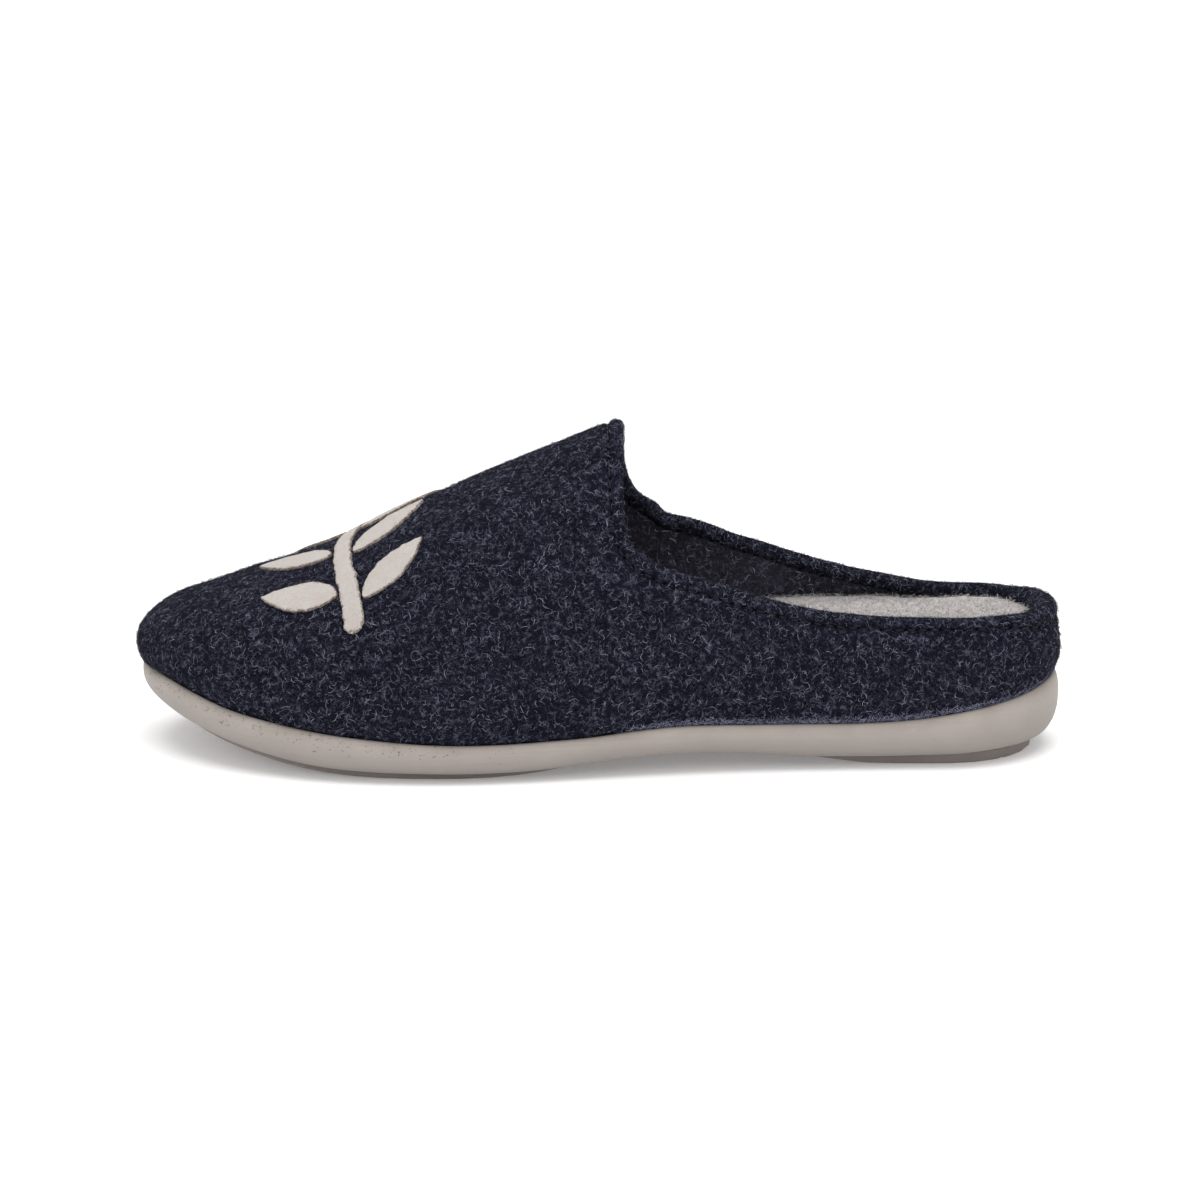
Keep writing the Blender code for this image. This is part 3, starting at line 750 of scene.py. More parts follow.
def thread_finish(colour):
    """Sewing thread with its twist."""
    s = Shade("navy sewing thread")
    wave = {"Vector": s.place(0.35 * MM), "Scale": 1.0, "Distortion": 2.0}
    twist = s.node("ShaderNodeTexWave", wave).outputs["Fac"]
    tone = s.mix(twist, toned(colour, 0.5), colour)
    rough = s.range(twist, 0.0, 1.0, 0.6, 0.85)
    return s.finish(tone, rough, s.bump(twist, 0.5, 0.05 * MM), 0.1)


# Hairs, stitches and other repeats


def hair_shape(name, length, width, rise, curl, segments=4):
    """One hair as a thin ribbon that curls over the felt and lifts off it."""
    points, faces = [], []
    heading, at = 0.0, np.zeros(3)
    step = length / segments
    for k in range(segments + 1):
        part = k / segments
        side = np.array([-math.sin(heading), math.cos(heading), 0.35 * math.sin(3 * part)])
        half = width / 2 * (1 - 0.75 * abs(2 * part - 1) ** 3)
        lifted = at + np.array([0, 0, rise * math.sin(part * math.pi * 0.8) - 0.05 * MM])
        points += [lifted - side * half, lifted + side * half]
        if k:
            faces.append((2 * k - 2, 2 * k, 2 * k + 1, 2 * k - 1))
        heading += curl / segments * (1.4 - part)
        at = at + step * np.array([math.cos(heading), math.sin(heading), 0])
    shift = -np.mean(points, axis=0) * np.array([1, 1, 0])
    mesh = bpy.data.meshes.new(name)
    mesh.from_pydata([tuple(p + shift) for p in points], [], faces)
    mesh.shade_smooth()
    return bpy.data.objects.new(name, mesh)


# Templates of hairs: length, width and rise in millimetres, curl in radians.
FELT_HAIRS = (
    (2.2, 0.12, 0.30, 2.6),
    (1.5, 0.13, 0.40, -3.2),
    (2.8, 0.11, 0.25, 1.6),
    (1.8, 0.12, 0.55, -2.2),
    (1.2, 0.13, 0.35, 3.8),
    (2.4, 0.11, 0.70, 1.0),
)
CURLED_HAIRS = (
    (2.8, 0.11, 0.22, 2.6),
    (2.2, 0.115, 0.20, -3.4),
    (3.4, 0.105, 0.25, 1.6),
    (1.7, 0.12, 0.26, -2.0),
    (2.5, 0.105, 0.26, -4.0),
    (1.3, 0.13, 0.20, 1.4),
)
STRAND_HAIRS = (
    (0.9, 0.12, 0.08, 4.4),
    (0.5, 0.15, 0.08, -2.4),
    (1.5, 0.10, 0.12, 3.2),
    (0.3, 0.18, 0.08, 0.5),
)
PILE_HAIRS = (
    (1.7, 0.14, 0.90, 2.2),
    (1.4, 0.15, 0.70, -3.0),
    (2.1, 0.13, 1.10, 1.5),
    (1.2, 0.15, 0.60, 4.0),
)


def templates(name, sizes, segments=4):
    """A hidden collection that holds one object for each hair in a table."""
    group = bpy.data.collections.new(name)
    for k, (length, width, rise, curl) in enumerate(sizes):
        made = hair_shape(f"{name} {k}", length * MM, width * MM, rise * MM, curl, segments)
        group.objects.link(made)
    return group


class Flow:
    """Short ways to build a Geometry Nodes tree."""

    def __init__(self, name, *sockets):
        self.tree = bpy.data.node_groups.new(name, "GeometryNodeTree")
        self.names = {}
        face = self.tree.interface
        face.new_socket("Geometry", in_out="INPUT", socket_type="NodeSocketGeometry")
        for label, kind in sockets:
            made = face.new_socket(label, in_out="INPUT", socket_type=f"NodeSocket{kind}")
            self.names[label] = made.identifier
        face.new_socket("Geometry", in_out="OUTPUT", socket_type="NodeSocketGeometry")
        self.inputs = self.tree.nodes.new("NodeGroupInput").outputs
        self.end = self.tree.nodes.new("NodeGroupOutput")

    def node(self, kind, inputs=(), **settings):
        made = self.tree.nodes.new(kind)
        for key, value in settings.items():
            setattr(made, key, value)
        for key, value in dict(inputs).items():
            if isinstance(value, bpy.types.NodeSocket):
                self.tree.links.new(value, made.inputs[key])
            else:
                made.inputs[key].default_value = value
        return made

    def finish(self, geometry, material):
        real = self.node("GeometryNodeRealizeInstances", {"Geometry": geometry})
        dressed = {"Geometry": real.outputs[0], "Material": material}
        last_node = self.node("GeometryNodeSetMaterial", dressed)
        self.tree.links.new(last_node.outputs[0], self.end.inputs[0])


@functools.cache
def hair_flow():
    """Hairs scattered over a surface where a mask allows, each turned and sized."""
    flow = Flow(
        "scattered hairs",
        ("Hairs", "Collection"),
        ("Mask", "String"),
        ("Density", "Float"),
        ("Smallest", "Float"),
        ("Largest", "Float"),
        ("Tilt", "Float"),
        ("Seed", "Int"),
        ("Material", "Material"),
    )
    given = flow.inputs
    mask = flow.node("GeometryNodeInputNamedAttribute", {"Name": given["Mask"]}, data_type="FLOAT")
    product = {0: mask.outputs[0], 1: given["Density"]}
    amount = flow.node("ShaderNodeMath", product, operation="MULTIPLY")
    spread = {"Mesh": given["Geometry"], "Density": amount.outputs[0], "Seed": given["Seed"]}
    points = flow.node("GeometryNodeDistributePointsOnFaces", spread)
    back = flow.node("ShaderNodeMath", {0: given["Tilt"], 1: -1.0}, operation="MULTIPLY")
    low = flow.node("ShaderNodeCombineXYZ", {0: back.outputs[0], 1: back.outputs[0], 2: 0.0})
    high = flow.node("ShaderNodeCombineXYZ", {0: given["Tilt"], 1: given["Tilt"], 2: math.tau})
    ends = {0: low.outputs[0], 1: high.outputs[0], "Seed": given["Seed"]}
    turn = flow.node("FunctionNodeRandomValue", ends, data_type="FLOAT_VECTOR")
    euler = flow.node("FunctionNodeEulerToRotation", {0: turn.outputs[0]})
    turned = {0: points.outputs["Rotation"], 1: euler.outputs[0]}
    facing = flow.node("FunctionNodeRotateRotation", turned, rotation_space="LOCAL")
    ends = {2: given["Smallest"], 3: given["Largest"], "Seed": given["Seed"]}
    size = flow.node("FunctionNodeRandomValue", ends, data_type="FLOAT")
    choice = {"Collection": given["Hairs"], "Separate Children": True, "Reset Children": True}
    shapes = flow.node("GeometryNodeCollectionInfo", choice)
    placing = {"Points": points.outputs["Points"], "Instance": shapes.outputs[0]}
    placing |= {"Pick Instance": True, "Rotation": facing.outputs[0], "Scale": size.outputs[1]}
    placed = flow.node("GeometryNodeInstanceOnPoints", placing)
    tone = flow.node("FunctionNodeRandomValue", {2: 0.0, 3: 1.0}, data_type="FLOAT")
    kept = {"Geometry": placed.outputs[0], "Name": "shade", "Value": tone.outputs[1]}
    kinds = {"domain": "INSTANCE", "data_type": "FLOAT"}
    shaded = flow.node("GeometryNodeStoreNamedAttribute", kept, **kinds)
    flow.finish(shaded.outputs[0], given["Material"])
    return flow


@functools.cache
def stitch_flow():
    """Stitches laid end to end along a line of edges."""
    flow = Flow(
        "stitches along a line",
        ("Pitch", "Float"),
        ("Stitch length", "Float"),
        ("Thickness", "Float"),
        ("Material", "Material"),
    )
    given = flow.inputs
    line = flow.node("GeometryNodeMeshToCurve", {"Mesh": given["Geometry"]})
    spread = {"Curve": line.outputs[0], "Length": given["Pitch"]}
    spaced = flow.node("GeometryNodeResampleCurve", spread, mode="LENGTH")
    tangent = flow.node("GeometryNodeInputTangent")
    aim = {"Vector": tangent.outputs[0]}
    facing = flow.node("FunctionNodeAlignRotationToVector", aim, axis="X")
    ball = flow.node("GeometryNodeMeshUVSphere", {"Segments": 8, "Rings": 5, "Radius": 0.5})
    girth = {0: given["Stitch length"], 1: given["Thickness"], 2: given["Thickness"]}
    size = flow.node("ShaderNodeCombineXYZ", girth)
    placing = {"Points": spaced.outputs[0], "Instance": ball.outputs[0]}
    placing |= {"Rotation": facing.outputs[0], "Scale": size.outputs[0]}
    placed = flow.node("GeometryNodeInstanceOnPoints", placing)
    flow.finish(placed.outputs[0], given["Material"])
    return flow


def grown(name, source, flow, finish, **values):
    """The plain mesh that a node tree makes from a source object."""
    grower = source.modifiers.new(name, "NODES")
    grower.node_group = flow.tree
    for label, value in values.items():
        grower[flow.names[label]] = value
    grower[flow.names["Material"]] = finish
    found = source.evaluated_get(bpy.context.evaluated_depsgraph_get())
    mesh = bpy.data.meshes.new_from_object(found)
    source.modifiers.remove(grower)
    mesh.name = name
    if not mesh.materials:
        mesh.materials.append(finish)
    made = bpy.data.objects.new(name, mesh)
    bpy.context.scene.collection.objects.link(made)
    return made


def grow_hairs(name, source, hairs, mask, finish, slot, **values):
    """Hairs on a piece, as a piece of their own."""
    values = {"Hairs": hairs, "Mask": mask, "Smallest": 0.7, "Largest": 1.3, **values}
    ready(grown(name, source, hair_flow(), finish, **values), slot)


# Sizes and colours that a user would change


def size_value(name, text, default):
    return FloatProperty(name=name, description=text, default=default, unit="LENGTH", precision=5)


def colour_value(name, text, default):
    return FloatVectorProperty(
        name=name, description=text, default=default, subtype="COLOR", size=3, min=0.0, max=1.0
    )


class SlipperFelt(bpy.types.PropertyGroup):
    groove: size_value("Stitch groove", "Depth of the groove under the rim's stitches", 0.7 * MM)
    swell: size_value("Band swell", "How far the folded band stands out", 0.4 * MM)
    lumps: size_value("Lumps", "Height of the felt's broad unevenness", 0.22 * MM)
    stitch_pitch: size_value("Stitch pitch", "One stitch to the next", 3.4 * MM)
    stitch_length: size_value("Stitch length", "Length of the thread on show", 2.5 * MM)
    thread: size_value("Thread", "Thickness of the sewing thread", 0.5 * MM)
    hair_density: FloatProperty(
        name="Hair density", description="Loose hairs to a square metre", default=3.4e5
    )
    seed: IntProperty(name="Seed", description="Another scatter of hairs", default=4)
    dark: colour_value("Ground", "Darkest tone of the navy felt", (0.0022, 0.0022, 0.0060))
    middle: colour_value("Body", "Usual tone of the navy felt", (0.0076, 0.0078, 0.0162))
    light: colour_value("Flecks", "Paler hairs of the navy felt", (0.1250, 0.1300, 0.1900))
    lining: colour_value("Lining", "Usual tone of the charcoal lining", (0.0470, 0.0460, 0.0670))


class SlipperSole(bpy.types.PropertyGroup):
    top: colour_value("Side", "Foam rubber below the lip", (0.366, 0.328, 0.297))
    # painted shade: the lower side is given a darker colour than the side below the lip
    low: colour_value("Lower side", "Foam rubber at the lower edge", (0.238, 0.211, 0.195))
    tread: colour_value("Tread", "Rubber of the worn surface", (0.250, 0.214, 0.196))


class SlipperBed(bpy.types.PropertyGroup):
    lumps: size_value("Pile lumps", "Height of the tufts of the pile", 0.5 * MM)
    hair_density: FloatProperty(
        name="Pile density", description="Loose pile hairs to a square metre", default=2.5e6
    )
    pile: colour_value("Pile", "Wool pile", (0.560, 0.530, 0.522))


class SlipperSprig(bpy.types.PropertyGroup):
    wander: size_value("Edge wander", "How unevenly the felt was cut", 0.45 * MM)
    cream: colour_value("Cream felt", "Face of the cut felt", (0.520, 0.488, 0.458))
    # painted shade: the brown of the cut edges and sides stands for their shade
    edge: colour_value("Cut edge", "Browned edges of the cut felt", (0.130, 0.088, 0.060))


class SlipperStage(bpy.types.PropertyGroup):
    distance: size_value("Camera distance", "From the middle of the slipper", 1.6)
    height: size_value("Aim height", "Height that the camera looks at", 0.042)
    elevation: FloatProperty(
        name="Elevation",
        description="Camera above the level",
        default=math.radians(14),
        subtype="ANGLE",
    )
    lens: FloatProperty(name="Lens", description="Focal length in millimetres", default=167.0)


class SLIPPER_OT_upper(bpy.types.Operator):
    """Navy felt shell with a rounded, folded rim and a charcoal lining"""

    bl_idname = "slipper.upper"
    bl_label = "Felt upper"

    def execute(self, context):
        make_upper(context.scene.slipper_felt)
        return {"FINISHED"}


class SLIPPER_OT_stitching(bpy.types.Operator):
    """Stitches round the folded rim, outside and inside"""

    bl_idname = "slipper.stitching"
    bl_label = "Rim stitching"

    def execute(self, context):
        make_stitching(context.scene.slipper_felt)
        return {"FINISHED"}


class SLIPPER_OT_hairs(bpy.types.Operator):
    """Loose hairs on the felt, the lining and along the sole"""

    bl_idname = "slipper.hairs"
    bl_label = "Felt hairs"

    def execute(self, context):
        make_felt_hairs(context.scene.slipper_felt)
        return {"FINISHED"}


class SLIPPER_OT_footbed(bpy.types.Operator):
    """Wool pile footbed and its hairs"""

    bl_idname = "slipper.footbed"
    bl_label = "Pile footbed"

    def execute(self, context):
        make_footbed(context.scene.slipper_bed)
        return {"FINISHED"}


class SLIPPER_OT_sole(bpy.types.Operator):
    """Foam rubber sole and its tread"""

    bl_idname = "slipper.sole"
    bl_label = "Sole and tread"

    def execute(self, context):
        make_sole(context.scene.slipper_sole)
        return {"FINISHED"}


class SLIPPER_OT_sprig(bpy.types.Operator):
    """Leafy sprig cut from cream felt"""

    bl_idname = "slipper.sprig"
    bl_label = "Felt sprig"

    def execute(self, context):
        make_sprig(context.scene.slipper_sprig)
        return {"FINISHED"}


class SLIPPER_OT_stage(bpy.types.Operator):
    """Pale floor, soft lights and the camera"""

    bl_idname = "slipper.stage"
    bl_label = "Floor, lights and camera"

    def execute(self, context):
        make_stage(context.scene.slipper_stage)
        return {"FINISHED"}


# The felt upper

# Soft troughs and ridges: side, then share of the length and height of each end,
# width and depth in millimetres. A negative depth is a ridge.
CREASES = (
    (OUTER, 0.500, 74, 0.560, 60, 7.0, 0.8),
    (OUTER, 0.620, 52, 0.700, 40, 9.0, 0.6),
    (OUTER, 0.760, 34, 0.860, 36, 8.0, 0.5),
    (OUTER, 0.430, 40, 0.470, 28, 8.0, -0.5),
    (INNER, 0.480, 70, 0.560, 56, 8.0, 0.7),
    (INNER, 0.600, 48, 0.690, 38, 9.0, 0.6),
)


def creased(points):
    """How far each point moves in for the troughs, or out for the ridges."""
    total = np.zeros(points.shape[:-1])
    for side, s0, z0, s1, z1, width, depth in CREASES:
        ends = []
        for share, z in ((s0, z0 * MM), (s1, z1 * MM)):
            ends.append(np.array([station(share), float(last_side(share, z, side)), z]))
        a, b = ends
        part = np.clip(((points - a) @ (b - a)) / ((b - a) @ (b - a)), 0, 1)
        near = np.linalg.norm(points - a - part[..., None] * (b - a), axis=-1)
        total += depth * MM * np.exp(-((near / (width * MM)) ** 2) * 2)
    return total


TUCK_PARTS = (0.0, 0.06, 0.14, 0.24, 0.36, 0.50, 0.64, 0.80)
WALL_ROWS = 36
RIM_ROWS = (8.2, 7.0, 6.0, 5.5, 5.1, 4.85, 4.6, 4.35, 4.1, 3.7, 3.2, 2.7)  # mm from the rim
RIM_ARC = 10  # steps over the rim's fold
RIM_WAVE = 0.28 * MM  # fine unevenness of the rim
INNER_BAND = 0.7  # share of the fold's thickness that lies inside
HEEL_ROLL = 2.8 * MM  # how much thicker the rim is at the back of the heel
HEEL_DIP = 1.2 * MM  # how much lower the rim is there
TOE_FULL = 1.4 * MM  # how far the felt stands out over the sole at the toe
TOE_DROOP = TOE_FULL * 0.7  # how far it hangs down there
# painted highlight: the extra hairs, most of them pale, lighten the rim's fold as if it caught the
# light from above
CREST_HIGHLIGHT_HAIRS = 1.9  # share of the usual hairs over the rim's fold
INNER_RIM_HAIRS = 0.35  # and inside it


def ease(value, low, high):
    """0 at low, 1 at high and smooth between."""
    t = np.clip((value - low) / (high - low), 0, 1)
    return t * t * (3 - 2 * t)


def outer_grid():
    """Rows of the felt's outer face up to the rim's curve, and each one's distance
    from the rim."""
    form = last()
    tucks = [form.tuck(part) for part in TUCK_PARTS]
    rows = [tucks[0] - np.array([0, 0, TUCK_DEPTH]), *tucks]
    lengths = np.stack([lengths_of(w) for w in form.walls])
    total = lengths[:, -1]
    radius = RIM_THICKNESS / 2
    free = total - RIM_ROWS[0] * MM
    spots = [free * (k / WALL_ROWS) ** 1.2 for k in range(WALL_ROWS)]
    spots += [total - d * MM for d in RIM_ROWS] + [total - radius]
    for spot in spots:
        row = [points_at(form.walls[i], spot[i : i + 1])[0] for i in range(form.count)]
        rows.append(np.array(row))
    far = np.stack([total + BULGE_RISE] * (len(TUCK_PARTS) + 1))
    edge = np.concatenate([far, total[None] - np.stack(spots)])
    return np.stack(rows), edge


# Lumps of the rim: side, share of the length, half length and height in millimetres.
RIM_LUMPS = (
    (INNER, 0.4440, 3.2, 1.1),
    (INNER, 0.4280, 2.4, -0.7),
    (INNER, 0.3800, 5.0, 0.5),
    (INNER, 0.3500, 4.0, -0.4),
    (OUTER, 0.3600, 6.0, 0.4),
    (OUTER, 0.2500, 6.0, -0.3),
)


def rim_wave(rim):
    """How far the rim rises or drops, by its unevenness, its lumps and its dip."""
    total = RIM_WAVE * noise_at(rim, 11 * MM, 8)
    total -= HEEL_DIP * ease(share_at(rim[:, 0]), 0.07, 0.02)
    for side, share, half, height in RIM_LUMPS:
        beside = (rim[:, 1] - centre(share_at(rim[:, 0]))) * side > 0
        near = (rim[:, 0] - station(share)) / (half * MM)
        total += beside * height * MM * np.exp(-(near**2))
    return total


@functools.cache
def felt_shape(groove, swell, lumps):
    """The felt as one grid of rows, then its outer and inner rows and their distance
    from the rim."""
    grid, edge = outer_grid()
    normals = grid_normals(grid)
    above = grid[..., 2] - lip_height(share_at(grid[..., 0]))
    free = ease(above, 0.4 * MM, 5 * MM)
    rough = lumps * noise_at(grid, 15 * MM, 1) + lumps * 0.45 * noise_at(grid, 4.5 * MM, 2)
    stitched = np.exp(-(((edge - RIM_BAND) / (0.6 * MM)) ** 2))
    band = ease(edge, RIM_BAND + 0.3 * MM, RIM_BAND - 1.6 * MM)
    shift = (rough - creased(grid)) * free - groove * stitched + swell * band
    front = ease(share_at(grid[..., 0]), 0.955, 0.995)
    shift += TOE_FULL * front * ease(above, 0.2 * MM, 2.5 * MM) * ease(above, 14 * MM, 5 * MM)
    outer = grid + normals * shift[..., None]
    hang = front * ease(above, 0.3 * MM, 1.6 * MM) * ease(above, 8 * MM, 3 * MM)
    outer[..., 2] -= TOE_DROOP * hang
    along = grid[-1] - grid[-4]
    along /= np.linalg.norm(along, axis=1, keepdims=True)
    wave = rim_wave(grid[-1]) * ease(edge, 11 * MM, 1 * MM)
    grid = grid + along[None] * wave[..., None]
    outer = outer + along[None] * wave[..., None]
    folded = ease(edge, RIM_BAND + 2.2 * MM, RIM_BAND - 1.2 * MM)
    thick = FELT + (RIM_THICKNESS - swell - FELT) * INNER_BAND * folded
    behind = ease(share_at(grid[..., 0]), 0.075, 0.02)
    thick = thick + HEEL_ROLL * behind * ease(edge, 16 * MM, 5 * MM)
    inside_shift = -thick + (rough * 0.5 - creased(grid)) * free + groove * stitched * 0.8
    inner = grid + normals * inside_shift[..., None]
    top, low = outer[-1], inner[-1]
    middle, across = (top + low) / 2, (top - low) / 2
    up = outer[-1] - outer[-2]
    up -= across * ((up * across).sum(1) / (across**2).sum(1))[:, None]
    up *= (np.linalg.norm(across, axis=1) / np.linalg.norm(up, axis=1))[:, None]
    arc = []
    for k in range(1, RIM_ARC):
        turn = math.pi * k / RIM_ARC
        arc.append(middle + across * math.cos(turn) + up * math.sin(turn))
    rows = np.concatenate([outer, np.stack(arc), inner[::-1]])
    return rows, outer, inner, edge


def felt_rows(look):
    return felt_shape(look.groove, look.swell, look.lumps)


THREAD_TONE = (0.012, 0.012, 0.022)

# Kinds of loose felt hairs: material, darkest tone and palest tone.
HAIR_TONES = {
    "pale": ("pale felt hairs", (0.010, 0.011, 0.020), (0.305, 0.316, 0.420)),
    "dark": ("dark felt hairs", (0.004, 0.004, 0.008), (0.022, 0.022, 0.034)),
    "grey": ("lining hairs", (0.046, 0.045, 0.060), (0.560, 0.550, 0.640)),
    "fringe": ("grey fringe hairs", (0.120, 0.125, 0.190), (0.400, 0.410, 0.520)),
}

# Layers of loose hairs: piece, shape, where they grow, kind, share of the usual
# density, largest size and tilt.
HAIR_LAYERS = (
    ("felt_hairs_flat", "curled", "outer_felt", "pale", 1.55, 1.1, 0.14),
    ("felt_hairs_loose", "loose", "outer_felt", "pale", 1.6, 1.1, 0.22),
    ("felt_hairs_dark", "loose", "outer_felt", "dark", 1.0, 1.3, 0.50),
    ("lining_hairs", "loose", "lining_felt", "grey", 1.8, 1.3, 0.20),
    ("sole_line_fuzz", "curled", "sole_line", "fringe", 22.0, 1.3, 0.45),
)


def upper_finishes(look):
    navy = felt_finish("navy felt", tuple(look.dark), tuple(look.middle), tuple(look.light), 0.8)
    dark, pale = toned(look.lining, 0.35), toned(look.lining, 4.2)
    return navy, felt_finish("charcoal lining", dark, tuple(look.lining), pale, 0.75)


def make_upper(look):
    rows, outer, _, edge = felt_rows(look)
    count = rows.shape[1]
    faces = loop_faces(len(rows), count, closed_rows=True)
    upper = mesh_object("felt_upper", rows.reshape(-1, 3), faces, upper_finishes(look))
    turned = len(outer) + RIM_ARC - 1
    for k, face in enumerate(upper.data.polygons):
        row = k // count
        inside = row - turned
        lined = inside >= 0 and row < len(rows) - 1
        if lined and edge[len(edge) - 1 - inside, 0] > RIM_BAND:
            face.material_index = 1
    face_outwards(upper)
    masks = {"outer_felt": [], "lining_felt": [], "sole_line": [], "seam": []}
    for row in range(len(rows)):
        is_outer = row < turned + 1
        inside = max(0, row - turned)
        lined = not is_outer and edge[len(edge) - 1 - inside].mean() > RIM_BAND
        height = rows[row, :, 2] - lip_height(share_at(rows[row, :, 0]))
        shown = ease(height, 0.3 * MM, 1.2 * MM)
        far = edge[min(row, len(edge) - 1)] if is_outer else edge[len(edge) - 1 - inside]
        # the seam mask: painted shade darkens the stitch groove here, and fewer hairs grow
        seam = np.exp(-(((far - RIM_BAND) / (0.42 * MM)) ** 2))
        masks["seam"].append(seam)
        shown = shown * (1 - ease(seam, 0.1, 0.5))
        # painted highlight: more hairs, most of them pale, along the rim's fold
        crest_highlight = CREST_HIGHLIGHT_HAIRS if len(outer) - 2 < row < turned else 1.0
        masks["outer_felt"].append(shown * (not lined) * (crest_highlight if is_outer else INNER_RIM_HAIRS))
        masks["lining_felt"].append(ease(height, 8 * MM, 10 * MM) * lined)
        low = ease(height, 2.2 * MM, 1.0 * MM) * ease(height, 0.1 * MM, 0.4 * MM)
        behind = ease(share_at(rows[row, :, 0]), 0.50, 0.42)
        masks["sole_line"].append(low * behind * is_outer)
    for name, values in masks.items():
        store(upper, name, np.stack(values))
    ready(upper, "navy_felt", "upper")


def make_stitching(look):
    outer, inner, edge = felt_rows(look)[1:]
    row = int(np.argmin(np.abs(edge.mean(1) - RIM_BAND)))
    finish = thread_finish(THREAD_TONE)
    for name, line, normals in (
        ("rim_stitches_outside", outer, grid_normals(outer)),
        ("rim_stitches_inside", inner, -grid_normals(inner)),
    ):
        points = line[row] + normals[row] * look.thread * 0.15
        count = len(points)
        mesh = bpy.data.meshes.new(name + " line")
        loop = [(i, (i + 1) % count) for i in range(count)]
        mesh.from_pydata([tuple(p) for p in points], loop, [])
        path = bpy.data.objects.new(name + " line", mesh)
        bpy.context.scene.collection.objects.link(path)
        sizes = {"Pitch": look.stitch_pitch, "Stitch length": look.stitch_length}
        stitches = grown(name, path, stitch_flow(), finish, Thickness=look.thread, **sizes)
        bpy.data.objects.remove(path)
        ready(stitches, "navy_felt")


def make_felt_hairs(look):
    upper = bpy.data.objects["felt_upper"]
    groups = {
        "loose": templates("felt hairs", FELT_HAIRS),
        "curled": templates("curled hairs", CURLED_HAIRS, 5),
    }
    finishes = {kind: hair_finish(*tones) for kind, tones in HAIR_TONES.items()}
    for turn, (name, shape, mask, kind, share, largest, tilt) in enumerate(HAIR_LAYERS):
        values = {"Density": look.hair_density * share, "Tilt": tilt, "Seed": look.seed + turn}
        values |= {"Largest": largest, "Smallest": largest - 0.6}
        grow_hairs(name, upper, groups[shape], mask, finishes[kind], "navy_felt", **values)
    for group in groups.values():
        remove_group(group)


def remove_group(group):
    for made in list(group.objects):
        bpy.data.objects.remove(made)
    bpy.data.collections.remove(group)


# The footbed

BED_TOP_LOOPS = 12
BED_ACROSS = 44


def make_footbed(look):
    form = last()
    clear = CLEARANCE * 2

    def part_way(part):
        def height(share):
            low, high = lip_height(share) - TUCK_DEPTH, bed_height(share) - BED_EDGE
            return low + (high - low) * part

        return height

    rows = [form.inside(part_way(part), clear) for part in (0, 0.25, 0.5, 0.75, 1.0)]
    for turn in (0.25, 0.5, 0.75, 1.0):
        rise = BED_EDGE * (1 - math.sin(turn * math.pi / 2))
        row = form.inside(lambda s: bed_height(s) - rise, clear)
        rows.append(row - form.out * BED_EDGE * (1 - math.cos(turn * math.pi / 2)))
    for k in range(1, BED_TOP_LOOPS + 1):
        part = k / BED_TOP_LOOPS
        dip = BED_CUP * (1 - (1 - part) ** 2)
        row = form.inside(lambda s: bed_height(s) - dip, clear)
        rows.append(row - form.out * (BED_EDGE + CUP_REACH * part))
    rows = np.stack(rows)
    count = form.count
    points = list(rows.reshape(-1, 3))
    faces = loop_faces(len(rows), count) + ladder(count, 0)
    start = (len(rows) - 1) * count
    strips = []
    for i in range(count // 2 + 1):
        a, b = rows[-1][i], rows[-1][-i % count]
        strip = [start + i]
        for k in range(1, BED_ACROSS):
            strip.append(len(points))
            points.append(a + (b - a) * k / BED_ACROSS)
        strips.append([*strip, start + (-i % count)])
    for one, two in zip(strips, strips[1:]):
        for k in range(BED_ACROSS):
            faces.append((one[k], one[k + 1], two[k + 1], two[k]))
    bed = mesh_object("insole_pile", points, faces, [pile_finish(tuple(look.pile))])
    bm = bmesh.new()
    bm.from_mesh(bed.data)
    bmesh.ops.remove_doubles(bm, verts=bm.verts[:], dist=0.02 * MM)
    bmesh.ops.recalc_face_normals(bm, faces=bm.faces[:])
    bm.normal_update()
    spots = np.array([v.co[:] for v in bm.verts])
    tall = 0.6 * noise_at(spots, 6 * MM, 5) + 0.4 * noise_at(spots, 2.6 * MM, 6)
    heights = bed_height(share_at(spots[:, 0]))
    raised = ease(spots[:, 2], heights - 3.5 * MM, heights - 2 * MM)
    shares = share_at(spots[:, 0])
    shown = raised * ease(shares, 0.66, 0.58)
    for v, rise, part in zip(bm.verts, tall, raised):
        v.co += v.normal * look.lumps * (rise - 0.25) * part
    bm.to_mesh(bed.data)
    bm.free()
    store(bed, "pile", shown)
    ready(bed, "cream_pile", "insole")
    hairs = templates("pile hairs", PILE_HAIRS, 3)
    high = tuple(min(0.9, c) for c in toned(look.pile, 1.35))
    finish = hair_finish("cream pile hairs", toned(look.pile, 0.62), high)
    values = {"Density": look.hair_density, "Tilt": 0.8, "Seed": 11}
    grow_hairs("pile_hairs", bed, hairs, "pile", finish, "cream_pile", **values)
    remove_group(hairs)


# The sole

FLANK_STEPS = 22
SHED_HAIRS = {"Density": 4.0e5, "Tilt": 0.1, "Seed": 31, "Smallest": 0.4}
SHED_TONES = ((0.010, 0.010, 0.014), (0.070, 0.062, 0.060))


